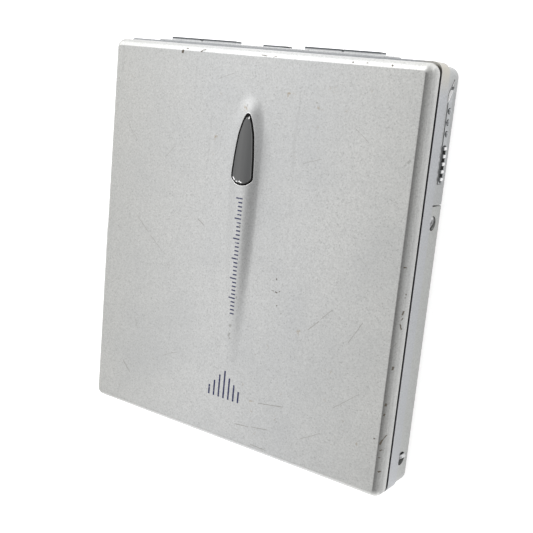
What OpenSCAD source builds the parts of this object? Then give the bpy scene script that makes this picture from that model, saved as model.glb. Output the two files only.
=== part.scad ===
// Portable minidisc player: two rear shells, a mid frame, a hinged lid and a tilting
// disc holder over a sprung optical drive. It lies flat with the lid up: +Z leaves the
// lid, +Y points at the keys, and the origin is the middle of the back face.

/* [Case] */
// Room beside the cartridge for the hinge
hinge_side = 7.2; // [7:0.1:9]
// Room beside the cartridge for the latch
latch_side = 4.8; // [4.6:0.1:6]
// Room beyond the cartridge for the keys
key_side = 10.6; // [10.4:0.1:12]
// Room beyond the cartridge at the other end
plain_side = 4; // [4:0.1:5]
// Height of the two rear shells
rear_h = 5.6; // [5.5:0.1:6]
// Height of the mid frame above the rear shells
frame_h = 3.75; // [3.7:0.05:4.2]
// Gap line between the mid frame and the lid
lid_gap = 0.5; // [0.3:0.05:0.7]
// Height of the lid from its lower edge to its face
lid_h = 3.35; // [3.3:0.05:3.8]
// Sheet thickness of the lid
lid_t = 0.6; // [0.5:0.05:0.7]
// Wall thickness of the rear shells
shell_t = 0.9; // [0.8:0.05:1.1]
// Floor thickness of the rear shells
floor_t = 0.45; // [0.4:0.05:0.5]
// Wall thickness of the mid frame
frame_t = 1.2; // [1:0.05:1.4]
// Corner radius of the case
corner_r = 2; // [1.7:0.1:3]
// Rounding of the back edge
back_r = 1.2; // [0.6:0.1:1.3]
// Width of the sloped border round the lid's face
bevel_w = 1.53; // [1:0.05:1.8]
// Height of the straight wall under the sloped border
lid_wall_h = 1.2; // [0.9:0.1:1.6]
// Step from the mid frame in to the rear shells at the keys and opposite them
rear_step = 0.2; // [0.1:0.1:1]
// Ledge between the battery bay and the seam of the rear shells
seam_land = 0.95; // [0.8:0.05:1.2]
// Width of the seam between the rear shells
seam_gap = 0.3; // [0.2:0.05:0.4]

/* [Lid face] */
// Height of the raised spine above the lid's face
spine_h = 0.85; // [0.6:0.05:1]
// How far the spine's foot stands outside the window's rim
spine_side = 0.15; // [0.1:0.05:0.3]
// End of the spine under the window's tip
spine_top_y = 33; // [31:0.5:36]
// End of the spine at its fading tail
spine_tail_y = -24; // [-30:0.5:-18]
// Widest half width of the window
window_half_w = 2.5; // [2.1:0.05:2.8]
// Place of the window's widest line
window_wide_y = 18; // [17.5:0.1:19]
// Tip of the window
window_tip_y = 29.8; // [28:0.1:31]
// Square end of the window
window_end_y = 15.6; // [15:0.1:16.5]
// Width of the window's metal rim
rim_w = 0.3; // [0.25:0.05:0.5]

/* [Disc bay] */
// Cartridge size along the hinge
cart_l = 72; // [71.5:0.1:72.5]
// Cartridge size from the slot to the hinge
cart_w = 68; // [67.5:0.1:68.5]
// Cartridge thickness
cart_h = 5; // [4.9:0.05:5.1]
// Sheet thickness of the disc holder
holder_t = 0.3; // [0.25:0.05:0.35]
// Width of the rails that carry the cartridge
rail_w = 3; // [2:0.1:4]

/* [Hinge] */
// Distance of the hinge axis from the outer wall
hinge_in = 2.4; // [2.3:0.05:2.6]
// Height of the hinge axis above the mid frame's rim
hinge_up = 1.05; // [1:0.05:1.2]
// Radius of the hinge pins
pin_r = 0.6; // [0.5:0.05:0.7]
// Radius of the knuckles
knuckle_r = 1.3; // [1.2:0.05:1.4]
// Distance between the two hinges
hinge_pitch = 44; // [40:1:46]

/* [Drive] */
// Outside radius of the spindle motor
motor_r = 9; // [8.5:0.1:9.2]
// Radius of the turntable
table_r = 5; // [4.5:0.1:5.5]
// Radius of the guide rods
rod_r = 0.9; // [0.8:0.05:1]
// Radius of the lead screw
screw_r = 1; // [0.8:0.05:1.1]
// Distance of the lens from the disc centre when the sled is right in
sled_in = 14.5; // [14.5:0.1:15]
// Travel of the optical sled
sled_travel = 16; // [15:0.1:16]
// Thickness of the deck plate
deck_t = 0.5; // [0.4:0.05:0.6]

/* [Keys] */
// How far the key caps stand out of the trim
key_out = 0.6; // [0.4:0.05:0.8]
// How far the trim stands out of the frame
trim_out = 0.35; // [0.2:0.05:0.5]
// Height of a key cap
key_h = 2.3; // [2:0.1:2.6]
// Travel of a key
key_travel = 0.5; // [0.3:0.05:0.5]
// Travel of the hold slider
hold_travel = 1.4; // [1:0.1:1.5]
// Travel of the open slider
open_travel = 1.2; // [1:0.1:1.2]

/* [Power and sound] */
// Room beyond the battery's inner end for its contacts and the latch
contact_room = 11.3; // [11:0.1:13]
// Battery width
batt_w = 17; // [16.5:0.1:17.2]
// Battery thickness
batt_h = 5.9; // [5.7:0.05:5.95]
// Radius of the headphone socket's bore
jack_r = 1.8; // [1.78:0.01:1.85]
// Depth of the headphone socket
jack_l = 13; // [12:0.5:14]

/* [Fits] */
// Clearance round a pin or shaft
run_gap = 0.05; // [0.03:0.01:0.08]
// Clearance round keys, doors and sliders
slide_gap = 0.15; // [0.1:0.05:0.2]
// Clearance of the deck in its dampers
seat_gap = 0.05; // [0.03:0.01:0.08]

/* [Hidden] */
$fn = 48;

// Levels, counted up from the back face
frame_top = rear_h + frame_h;
lid_z = frame_top + lid_gap;
lid_top = lid_z + lid_h;
lid_under = lid_top - lid_t;
x_out = (cart_w + hinge_side + latch_side) / 2;
y_out = (cart_l + key_side + plain_side) / 2;
y_keys = y_out + 0.4;
disc_x = (hinge_side - latch_side) / 2;
disc_y = (plain_side - key_side) / 2;
shell_x = x_out - 0.25;
shell_y = y_out - rear_step;
shell_in = shell_x - shell_t;
frame_in = x_out - frame_t;
hinge_x = hinge_in - x_out;
hinge_z = frame_top + hinge_up;
hinge_y1 = disc_y + 1.3 - hinge_pitch / 2;
hinge_y2 = disc_y + 1.3 + hinge_pitch / 2;
wall_cut = 3;
beam_y = y_keys - 8.1;

// Disc bay
holder_top = lid_under - 0.2;
cart_top = holder_top - holder_t - 0.05;
cart_z = cart_top - cart_h;
rail_z = cart_z - 0.05 - holder_t;
bay_x1 = disc_x - cart_w / 2;
bay_x2 = disc_x + cart_w / 2;
bay_half = cart_l / 2 + 0.25;
table_top = cart_z + 0.55;

// Battery bay and the seam beside it
batt_y = beam_y - 0.3 - batt_w / 2;
batt_z = floor_t + 0.1;
batt_x1 = -x_out + 1.7;
batt_x2 = x_out - contact_room;
bay_end = batt_x2 + 3.5;
seam_y = batt_y - batt_w / 2 - 1 - seam_land;
door_y1 = seam_y + 0.95;
door_pin_y = beam_y + 2;
door_z1 = floor_t + 0.15;
door_z2 = batt_z + batt_h + 0.35;
door_t = 1.1;
door_pin_r = 0.35;
pin_foot_z = 0.15;
door_x = -shell_x + door_t / 2;

// Drive
deck_z = rail_z - 1.25;
motor_z = 1;
motor_top = deck_z - 0.3;
rod_z = 3.3;
sled_x1 = disc_x - 14;
sled_x2 = disc_x + 14;
lens_y = disc_y - sled_in;
sled_y1 = lens_y - 6.2;
sled_y2 = lens_y + 4.3;
rod_y1 = -shell_y + shell_t + 0.3;
rod_y2 = disc_y - 5.5;
screw_x = sled_x1 - 4.2;
damper_xy = [[3.8 - x_out, 7.3 - y_out], [3.8 - x_out, seam_y - 8.35],
             [x_out - 3.6, 11.8 - y_out], [x_out - 3.6, disc_y - 1.7]];
damper_h = 0.9;

// Keys, each with its middle and half length
key_z = rear_h + frame_h / 2 - 0.5;
key_tip = y_keys + trim_out + key_out;
key_rows = [["key_volume_down", -22.95, 4.15], ["key_volume_up", -13.7, 4.5],
            ["key_play", 12.95, 4.4], ["key_stop", 22, 4.2]];
trim_x1 = key_rows[0][1] - 7.45;
trim_x2 = key_rows[3][1] + 7.3;
hold_x1 = -2.2;
hold_x2 = 4.3;
beam_t = 0.7;
skin_t = 0.8;
board_y = beam_y + beam_t;
board_t = 0.6;
switch_d = 1.5;
stem_y = board_y + board_t + switch_d + key_travel + 0.1;
front_in = y_keys - frame_t;

// Open slider on the latch side
slider_y1 = seam_y + 4.4;
slider_y2 = shell_y - 6.8;
slider_z1 = 2.5;
slider_z2 = 4.3;
slant = 3;

// Sockets on the plain side
jack_x = 10 - x_out;
jack_z = 3;
collar_r = jack_r + 0.5;
charge_x = [sled_x2 + 4.8, sled_x2 + 9.8];

silver = [0.77, 0.78, 0.79];
shade = [0.7, 0.71, 0.72];
steel = [0.62, 0.63, 0.65];
black = [0.12, 0.12, 0.13];
board_green = [0.09, 0.27, 0.16];

// Rectangle with rounded corners, given by its sides
module plate(x1, x2, y1, y2, r, z, h) {
    translate([0, 0, z]) linear_extrude(h) rounded(x1, x2, y1, y2, r);
}

module rounded(x1, x2, y1, y2, r) {
    translate([x1 + r, y1]) square([x2 - x1 - 2 * r, y2 - y1]);
    translate([x1, y1 + r]) square([x2 - x1, y2 - y1 - 2 * r]);
    for (x = [x1 + r, x2 - r], y = [y1 + r, y2 - r]) translate([x, y]) circle(r);
}

module block(x1, x2, y1, y2, z1, z2) {
    translate([x1, y1, z1]) cube([x2 - x1, y2 - y1, z2 - z1]);
}

module rod_y(x, z, r, y1, y2) {
    translate([x, y1, z]) rotate([-90, 0, 0]) cylinder(h = y2 - y1, r = r);
}

module rod_x(y, z, r, x1, x2) {
    translate([x1, y, z]) rotate([0, 90, 0]) cylinder(h = x2 - x1, r = r);
}

// Slab whose rim follows a profile of [distance out from the corner centre, height]
module rimmed(x1, x2, y1, y2, r, rim) {
    x_mid = (x1 + x2) / 2;
    y_mid = (y1 + y2) / 2;
    half_x = (x2 - x1) / 2;
    half_y = (y2 - y1) / 2;
    last = len(rim) - 1;
    across = concat([[0, rim[0][1]]], [for (p = rim) [half_x - r + p[0], p[1]]], [[0, rim[last][1]]]);
    along = concat([[0, rim[0][1]]], [for (p = rim) [half_y - r + p[0], p[1]]], [[0, rim[last][1]]]);
    corner = concat([[0, rim[0][1]]], rim, [[0, rim[last][1]]]);
    translate([x_mid, y_mid, 0]) {
        for (s = [0, 1]) mirror([s, 0, 0])
            translate([0, half_y - r, 0]) rotate([90, 0, 0]) linear_extrude(2 * (half_y - r)) polygon(across);
        for (s = [0, 1]) mirror([0, s, 0])
            translate([r - half_x, 0, 0]) rotate([90, 0, 90]) linear_extrude(2 * (half_x - r)) polygon(along);
        for (x = [-1, 1], y = [-1, 1])
            translate([x * (half_x - r), y * (half_y - r), 0]) rotate_extrude() polygon(corner);
    }
}

// Rounded back edge, from the back face up to a height
function back_rim(r, e, z, h) = concat([for (a = [-90:18:0]) [r - e + e * cos(a), z + e + e * sin(a)]], [[r, h]]);

// Lid edge: a straight wall, then a convex slope up to the crease round the face
rise = lid_h - lid_wall_h;
bevel_r = (bevel_w * bevel_w + rise * rise) / (2 * bevel_w);
bevel_end = asin(rise / bevel_r);
function lid_rim(r) = concat([[r, lid_z]],
    [for (i = [0:5]) [r - bevel_r + bevel_r * cos(bevel_end * i / 5), lid_top - rise + bevel_r * sin(bevel_end * i / 5)]]);

module shell_body() {
    difference() {
        rimmed(-shell_x, shell_x, -shell_y, shell_y, corner_r, back_rim(corner_r, back_r, 0, rear_h));
        rimmed(-shell_in, shell_in, shell_t - shell_y, shell_y - shell_t, corner_r - shell_t,
               back_rim(corner_r - shell_t, back_r / 2, floor_t, rear_h + 1));
    }
}

module post(x, y, z1, z2, r) {
    translate([x, y, z1]) cylinder(h = z2 - z1, r = r);
}

board_z = 1.8;
board_h = 0.7;
screw_row_y = seam_y - 4.05;
back_screw_xy = [[sled_x2 + 4.3, 5.5 - y_out], [x_out - 4.8, disc_y - 8.7], [x_out - 5.6, screw_row_y], [5.5 - x_out, screw_row_y]];
side_screw_yz = [[seam_y - 3.5, 4.1], [6.4 - y_out, 4]];

module rear_cover() {
    color(silver) difference() {
        union() {
            intersection() {
                shell_body();
                block(-x_out, x_out, -y_out, seam_y - seam_gap / 2, -1, rear_h + 1);
            }
            block(-shell_in, shell_in, seam_y - seam_gap / 2 - 0.8, seam_y - seam_gap / 2, floor_t, 1.6);
            for (p = damper_xy) post(p[0], p[1], floor_t - 0.1, deck_z - damper_h, 1.5);
            for (p = damper_xy) post(p[0], p[1], floor_t - 0.1, deck_z + deck_t + damper_h, 0.7);
            for (p = back_screw_xy) post(p[0], p[1], floor_t - 0.1, board_z, 1.7);
            for (p = side_screw_yz) block(shell_in - 2.2, shell_in + 0.2, p[0] - 1.8, p[0] + 1.8, floor_t - 0.1, rear_h);
        }
        for (p = back_screw_xy) post(p[0], p[1], -1, floor_t, 1.4);
        for (p = back_screw_xy) post(p[0], p[1], -1, board_z + 1, 0.7);
        rod_y(jack_x, jack_z, collar_r + slide_gap, -y_out, -shell_y + wall_cut);
        for (p = side_screw_yz) rod_x(p[0], p[1], 1.45, shell_x - 0.7, x_out);
        for (p = side_screw_yz) rod_x(p[0], p[1], 0.75, shell_in - wall_cut, x_out);
        for (s = charge_x) block(s - 1.55, s + 1.55, -y_out, -shell_y + wall_cut, 1.95, 4.05);
    }
}

module slider_window(grow, y2) {
    rotate([90, 0, 90]) linear_extrude(wall_cut) polygon([
        [slider_y1 - grow, slider_z1 - grow], [y2 + slant + 2 * grow, slider_z1 - grow],
        [y2 + 2 * grow, slider_z2 + grow], [slider_y1 - grow, slider_z2 + grow]]);
}

module control_shell() {
    color(shade) difference() {
        union() {
            intersection() {
                shell_body();
                block(-x_out, x_out, seam_y + seam_gap / 2, y_out, -1, rear_h + 1);
            }
            block(-shell_in, bay_end + 0.8, batt_y - batt_w / 2 - 1, batt_y - batt_w / 2 - 0.2, floor_t - 0.1, rear_h);
            block(-shell_in + 2, bay_end + 0.8, batt_y + batt_w / 2 + 0.2, batt_y + batt_w / 2 + 1, floor_t - 0.1, rear_h);
            block(bay_end, bay_end + 0.8, batt_y - batt_w / 2 - 1, batt_y + batt_w / 2 + 1, floor_t - 0.1, rear_h);
        }
        translate([shell_in - 1, 0, 0]) slider_window(slide_gap, slider_y2 + open_travel);
        block(-x_out - 1, door_x + door_t / 2 + 0.1, door_y1 - slide_gap, door_pin_y + 0.9,
              door_z1 - slide_gap, rear_h + 1);
        block(-x_out, -shell_in + 2, batt_y - batt_w / 2 - 0.2, batt_y + batt_w / 2 + 0.2, batt_z - 0.1, rear_h + 1);
        post(door_x, door_pin_y, pin_foot_z, door_z2, door_pin_r + run_gap);
    }
}

module mid_frame() {
    color(silver) difference() {
        union() {
            difference() {
                plate(-x_out, x_out, -y_out, y_keys, corner_r, rear_h, frame_h);
                block(-frame_in, frame_in, frame_t - y_out, beam_y, rear_h - 1, frame_top + 1);
                block(-frame_in, frame_in, beam_y + beam_t, front_in, rear_h - 1, frame_top - skin_t);
                intersection() {
                    rod_y(hinge_x, hinge_z, hinge_in + 0.3, -y_out - 1, y_keys + 1);
                    block(-x_out - 1, hinge_x, -y_out - 1, y_keys + 1, rear_h, frame_top + 1);
                }
            }
            for (y = [hinge_y1, hinge_y2], s = [-1, 1]) hinge_lug(y + s * lug_y);
            block(latch_x - 0.2, frame_in + 0.1, spring_y2, spring_y2 + 0.7, bar_z, bar_z + bar_h + 0.2);
        }
        for (k = key_rows) block(k[1] - k[2] - slide_gap, k[1] + k[2] + slide_gap, front_in - 1, y_keys + 1,
                                 key_z - key_h / 2 - slide_gap, key_z + key_h / 2 + slide_gap);
        block(hold_x1 - slide_gap, hold_x2 + hold_travel + slide_gap, front_in - 1, y_keys + 1,
              key_z - 0.9, key_z + 0.9);
        block(trim_x1, trim_x2, y_keys - 0.5, y_keys + 1, key_z - 1.75, key_z + 1.75);
        block(-x_out - 1, door_x + door_t / 2 + 0.1, door_y1 - slide_gap, door_pin_y + 0.9,
              rear_h - 1, door_z2 + slide_gap);
        block(-x_out, bay_end - 0.2, batt_y - batt_w / 2 - 0.2, batt_y + batt_w / 2 + 0.2, rear_h - 1, door_z2 + slide_gap);
    }
}
lug_w = 1.1;
liner_w = 1.5;
arm_w = 1;
side_play = 0.15;
pin_half = (2 * lug_w + liner_w + arm_w + 3 * side_play) / 2;
lug_y = pin_half - lug_w / 2;
liner_dy = -(arm_w + side_play) / 2;
arm_dy = (liner_w + side_play) / 2;

// Ear that rises from the frame to the hinge axis
module hinge_lug(y) {
    difference() {
        union() {
            rod_y(hinge_x, hinge_z, knuckle_r, y - lug_w / 2, y + lug_w / 2);
            block(hinge_x - 0.2, hinge_x + knuckle_r, y - lug_w / 2, y + lug_w / 2, rear_h + 0.4, hinge_z);
            block(-x_out + frame_t / 2, hinge_x + knuckle_r, y - lug_w / 2, y + lug_w / 2, rear_h + 0.4, frame_top - 1.6);
        }
        rod_y(hinge_x, hinge_z, pin_r, y - lug_w, y + lug_w);
    }
}

module hinge_pins() {
    color(steel) for (y = [hinge_y1, hinge_y2]) rod_y(hinge_x, hinge_z, pin_r, y - pin_half, y + pin_half);
}

// Trim strip round the keys, with a window for each
module key_trim() {
    color(shade) difference() {
        block(trim_x1 + 0.1, trim_x2 - 0.1, y_keys - 0.5, y_keys + trim_out, key_z - 1.65, key_z + 1.65);
        for (k = key_rows) block(k[1] - k[2] - slide_gap, k[1] + k[2] + slide_gap, y_keys - 1, y_keys + 1,
                                 key_z - key_h / 2 - slide_gap, key_z + key_h / 2 + slide_gap);
        block(hold_x1 - slide_gap, hold_x2 + hold_travel + slide_gap, y_keys - 1, y_keys + 1,
              key_z - 0.9, key_z + 0.9);
    }
}

// Key cap with the flange that keeps it in and the stem that meets its switch
module key(row) {
    x = row[1];
    half = row[2];
    color(silver) {
        block(x - half, x + half, front_in - 0.2, key_tip, key_z - key_h / 2, key_z + key_h / 2);
        block(x - half, x + half, front_in - 1, front_in - slide_gap, key_z - key_h / 2 - 0.1, key_z + key_h / 2 + 0.3);
        block(x - 1, x + 1, stem_y, front_in - 0.5, key_z - 0.7, key_z + 0.7);
    }
}

module key_volume_down() { key(key_rows[0]); }
module key_volume_up() { key(key_rows[1]); }
module key_play() { key(key_rows[2]); }
module key_stop() { key(key_rows[3]); }

hold_x = (hold_x1 + hold_x2) / 2;
module hold_slider() {
    color(silver) {
        block(hold_x1, hold_x2, front_in - 0.2, y_keys + trim_out + 0.35, key_z - 0.9 + slide_gap, key_z + 0.9 - slide_gap);
        block(hold_x1 - 1.6, hold_x2 + 1, front_in - 1, front_in - slide_gap, key_z - 1.2, key_z + 1.4);
        block(hold_x - 0.8, hold_x + 0.8, stem_y, front_in - 0.5, key_z - 0.6, key_z + 0.6);
    }
}

module key_board() {
    color(board_green) block(key_rows[0][1] - 6, key_rows[3][1] + 6, board_y, board_y + board_t, rear_h - 1, frame_top - skin_t - 0.2);
}

module key_switches() {
    color(black) {
        for (k = key_rows) block(k[1] - 1.7, k[1] + 1.7, board_y + board_t, board_y + board_t + switch_d - 0.4, key_z - 1.4, key_z + 1.4);
        for (k = key_rows) rod_y(k[1], key_z, 0.8, board_y + board_t + switch_d - 0.5, board_y + board_t + switch_d);
        block(hold_x - 3, hold_x + 3, board_y + board_t, board_y + board_t + switch_d, key_z - 1.4, key_z + 1.4);
    }
}

// Finger slider that frees the lid, with three grip bumps and five ribs
module open_slider() {
    color(silver) {
        translate([shell_x - shell_t, 0, 0]) intersection() {
            slider_window(0, slider_y2);
            block(0, shell_t + 0.1, 0, y_out, 0, rear_h);
        }
        for (i = [0:2]) translate([shell_x + 0.05, slider_y2 - 1.5 - 2.2 * i, (slider_z1 + slider_z2) / 2]) sphere(0.5);
        for (i = [0:4]) translate([0, slider_y1 + 0.5 + 1.5 * i, 0]) block(shell_x, shell_x + 0.4, 0, 0.7, slider_z1 + 0.2, slider_z2 - 0.2);
        block(shell_in - 0.85, shell_in - 0.15, slider_y1 - 1, slider_y2 - 1, slider_z1 - 0.5, slider_z2 + 0.3);
        block(shell_in - 0.2, shell_in + 0.1, slider_y1 + 1, slider_y2 - 2, slider_z1 + 0.2, slider_z2 - 0.2);
    }
}

// Steel bar that carries the slider's travel up to the lid's catch
latch_x = frame_in - 2.2;
catch_y = slider_y1 - 12.6;
bar_z = rear_h + 0.15;
bar_h = 1.25;
bar_end = slider_y1 + 6;
module latch_plate() {
    color(steel) {
        block(latch_x, latch_x + 0.7, catch_y, bar_end, bar_z, bar_z + bar_h);
        block(latch_x, latch_x + 0.7, slider_y1, bar_end, slider_z1, bar_z + bar_h);
        block(latch_x, shell_in - 0.85, slider_y1, bar_end, slider_z1, slider_z2);
        block(latch_x, latch_x + 0.7, catch_y, catch_y + 3, bar_z, lid_z + 0.8);
        block(latch_x, latch_x + 0.7, catch_y - 1.2, catch_y + 3, lid_z, lid_z + 0.8);
    }
}

// Compression spring that pushes the latch home
spring_r = 0.75;
spring_wire = 0.16;
spring_turns = 7;
spring_y1 = bar_end;
spring_y2 = bar_end + 5.4;
spring_x = latch_x + 0.55;
spring_z = bar_z + bar_h / 2;
coil_steps = 12;
coil_sides = 6;
function coil_at(i) = let (t = i / coil_steps, a = 360 * t)
    [spring_x + spring_r * cos(a), spring_y1 + 0.2 + (spring_y2 - spring_y1 - 0.4) * t / spring_turns, spring_z + spring_r * sin(a)];
function coil_ring(i) = let (a = 360 * i / coil_steps)
    [for (j = [0:coil_sides - 1]) let (b = 360 * j / coil_sides)
        coil_at(i) + spring_wire * [cos(a) * cos(b), sin(b), sin(a) * cos(b)]];
coil_last = coil_steps * spring_turns;
coil_gap = (spring_y2 - spring_y1 - 0.4) / spring_turns - 2 * spring_wire;
echo("least gap between the spring's turns", coil_gap);
module open_spring() {
    color(steel) polyhedron(
        [for (i = [0:coil_last]) for (p = coil_ring(i)) p],
        concat([[for (j = [0:coil_sides - 1]) coil_sides - 1 - j]],
            [for (i = [0:coil_last - 1], j = [0:coil_sides - 1]) let (k = (j + 1) % coil_sides, a = i * coil_sides)
                [a + j, a + k, a + coil_sides + k]],
            [for (i = [0:coil_last - 1], j = [0:coil_sides - 1]) let (k = (j + 1) % coil_sides, a = i * coil_sides)
                [a + j, a + coil_sides + k, a + coil_sides + j]],
            [[for (j = [0:coil_sides - 1]) coil_last * coil_sides + j]]));
}

// Window outline: two arcs to a point, and a square end
module window_shape(grow) {
    half = window_half_w + grow;
    reach = window_tip_y - window_wide_y + 1.6 * grow;
    arc_r = (half * half + reach * reach) / (2 * half);
    intersection() {
        translate([arc_r - half, window_wide_y]) circle(arc_r, $fn = 160);
        translate([half - arc_r, window_wide_y]) circle(arc_r, $fn = 160);
        translate([-half, window_end_y - grow]) square([2 * half, reach + window_wide_y]);
    }
}

// Spine: a spindle along the case, sunk so that only its crest stands out of the face
spine_half_w = window_half_w + rim_w + spine_side;
spine_end_h = 0.16;
spine_full_y = 10;
crest_r = (spine_half_w * spine_half_w + spine_h * spine_h) / (2 * spine_h);
function crest(y) = let (
    up = y > window_wide_y ? (spine_top_y - y) / (spine_top_y - window_wide_y) : 1,
    down = y < spine_full_y ? (y - spine_tail_y) / (spine_full_y - spine_tail_y) : 1)
    crest_r - spine_h + max(spine_end_h, spine_h * pow(max(0, min(up, down)), 0.6));
spine_y = concat([for (i = [0:6]) spine_tail_y + (spine_full_y - spine_tail_y) * i / 6],
    [for (i = [0:4]) window_wide_y + (spine_top_y - window_wide_y) * i / 4]);
module spine() {
    intersection() {
        translate([0, 0, lid_top - crest_r + spine_h]) rotate([-90, 0, 0]) rotate_extrude()
            polygon(concat([[0, spine_tail_y]], [for (y = spine_y) [crest(y), y]], [[0, spine_top_y]]));
        block(-x_out, x_out, -y_out, y_out, lid_top - lid_t / 2, lid_top + 3);
    }
}

module lid_panel() {
    color(silver) difference() {
        union() {
            rimmed(-x_out, x_out, -y_out, y_out, corner_r, lid_rim(corner_r));
            spine();
        }
        plate(-x_out + lid_t, x_out - lid_t, -y_out + lid_t, y_out - lid_t, corner_r - lid_t, lid_z - 1, lid_wall_h + 1);
        plate(-x_out + lid_t + 0.3, x_out - lid_t - 0.3, -y_out + lid_t + 0.3, y_out - lid_t - 0.3, corner_r - lid_t, lid_z, lid_wall_h + 0.7);
        plate(-x_out + bevel_w, x_out - bevel_w, -y_out + bevel_w, y_out - bevel_w, corner_r - bevel_w / 2, lid_z, lid_under - lid_z);
        translate([0, 0, lid_under - 1]) linear_extrude(wall_cut) window_shape(rim_w);
    }
}

module window_lens() {
    color(black) translate([0, 0, lid_under]) linear_extrude(lid_t + spine_h + 0.05) window_shape(0);
}

module window_rim() {
    color(steel) translate([0, 0, lid_under]) linear_extrude(lid_t + spine_h + 0.15) difference() {
        window_shape(rim_w);
        window_shape(0);
    }
}

// Moulded frame inside the lid: a flange, an upstand, the lid's knuckles and the catch
liner_z = lid_under - 0.65;
liner_x1 = bay_x1 - 1.3;
liner_x2 = bay_x2 + 1.2;
liner_y1 = disc_y - bay_half - holder_t - 0.35;
liner_y2 = disc_y + bay_half + holder_t + 0.35;
liner_in = bevel_w + 0.15;
module lid_liner() {
    color(black) difference() {
        union() {
            difference() {
                plate(-x_out + liner_in, x_out - liner_in, -y_out + liner_in, y_out - liner_in, corner_r - bevel_w / 2, liner_z, lid_under - liner_z);
                block(liner_x1, liner_x2, liner_y1, liner_y2, liner_z - 1, lid_under + 1);
            }
            block(x_out - 2.4, x_out - liner_in, -y_out + 4, y_out - 4, lid_z + 0.3, lid_under - 0.1);
            block(20 - x_out, x_out - 6, y_out - 2.4, y_out - liner_in, lid_z + 0.3, lid_under - 0.1);
            block(20 - x_out, x_out - 6, liner_in - y_out, 2.4 - y_out, lid_z + 0.3, lid_under - 0.1);
            block(latch_x - 0.3, x_out - 2, catch_y - 4.5, catch_y - 1.5, lid_z + 0.15, lid_under - 0.1);
            for (y = [hinge_y1, hinge_y2]) {
                rod_y(hinge_x, hinge_z, knuckle_r, y + liner_dy - liner_w / 2, y + liner_dy + liner_w / 2);
                block(hinge_x - 0.7, hinge_x + knuckle_r, y + liner_dy - liner_w / 2, y + liner_dy + liner_w / 2, hinge_z, lid_under - 0.1);
            }
        }
        for (y = [hinge_y1, hinge_y2]) rod_y(hinge_x, hinge_z, pin_r + run_gap, y - 4, y + 4);
        for (p = lid_screw_xy) post(p[0], p[1], liner_z - 2, lid_under + 1, 0.55);
    }
}
lid_screw_xy = [[4 - x_out, 2.6 - y_out], [x_out - 3.3, 2.6 - y_out], [4 - x_out, y_out - 4.8], [x_out - 3.8, y_out - 4.8]];

// Small cross-head screw, head first, at the origin and along -Z
module screw(head_r, head_h, shank_r, shank_l) {
    difference() {
        union() {
            translate([0, 0, -head_h]) cylinder(h = head_h, r = head_r);
            translate([0, 0, -head_h - shank_l]) cylinder(h = shank_l + 0.1, r = shank_r);
        }
        for (a = [0, 90]) rotate(a) block(-head_r * 0.6, head_r * 0.6, -0.16, 0.16, -head_h * 0.7, 1);
    }
}

module lid_screws() {
    color(steel) for (p = lid_screw_xy) translate([p[0], p[1], liner_z - 0.3]) rotate([180, 0, 0]) screw(0.85, 0.3, 0.5, 0.5);
}

module side_screws() {
    color(steel) for (p = side_screw_yz) translate([shell_x - 0.1, p[0], p[1]]) rotate([0, 90, 0]) screw(1.35, 0.55, 0.7, 1.9);
}

module back_screws() {
    color(steel) for (p = back_screw_xy) translate([p[0], p[1], 0.02]) rotate([180, 0, 0]) screw(1.3, 0.4, 0.65, 2.4);
}

// Sheet steel tray that takes the cartridge and tilts with the lid at half its angle
holder_x1 = bay_x1 - 0.5;
holder_x2 = bay_x2 + 0.4;
holder_y1 = disc_y - bay_half - holder_t;
holder_y2 = disc_y + bay_half + holder_t;
leaf_x = [disc_x - 23, disc_x + 23];
leaf_y1 = disc_y - 26;
leaf_y2 = disc_y + 26;
module disc_holder() {
    color(steel) difference() {
        union() {
            block(holder_x1, holder_x2, holder_y1, holder_y2, holder_top - holder_t, holder_top);
            for (y = [holder_y1, holder_y2 - holder_t])
                block(holder_x1, holder_x2, y, y + holder_t, rail_z, holder_top);
            for (y = [holder_y1, holder_y2 - rail_w])
                block(holder_x1, holder_x2, y, y + rail_w, rail_z, rail_z + holder_t);
            block(holder_x1, holder_x1 + holder_t, holder_y1, holder_y2, rail_z + 1.2, holder_top);
            for (y = [hinge_y1, hinge_y2]) holder_arm(y + arm_dy);
        }
        for (y = [hinge_y1, hinge_y2]) rod_y(hinge_x, hinge_z, pin_r + run_gap, y - 4, y + 4);
        for (x = leaf_x) block(x - 6, x + 6, leaf_y1, leaf_y2, holder_top - 2 * holder_t, holder_top + 1);
        translate([0, 0, holder_top - 2 * holder_t]) linear_extrude(wall_cut) window_shape(rim_w + 0.6);
    }
}

module holder_arm(y) {
    rod_y(hinge_x, hinge_z, knuckle_r, y - arm_w / 2, y + arm_w / 2);
    block(hinge_x, holder_x1 + holder_t, y - arm_w / 2, y + arm_w / 2, hinge_z - knuckle_r, hinge_z + knuckle_r);
}

// Leaf springs in the holder's windows, which press the cartridge on its rails
module cartridge_springs() {
    color(steel) for (x = leaf_x) translate([x - 1.5, 0, 0]) rotate([90, 0, 90]) linear_extrude(3) polygon([
        [leaf_y1, holder_top - 0.14], [(leaf_y1 + leaf_y2) / 2, cart_top + 0.03], [leaf_y2, holder_top - 0.14],
        [leaf_y2, holder_top - 0.02], [(leaf_y1 + leaf_y2) / 2, cart_top + 0.15], [leaf_y1, holder_top - 0.02]]);
}

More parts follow.
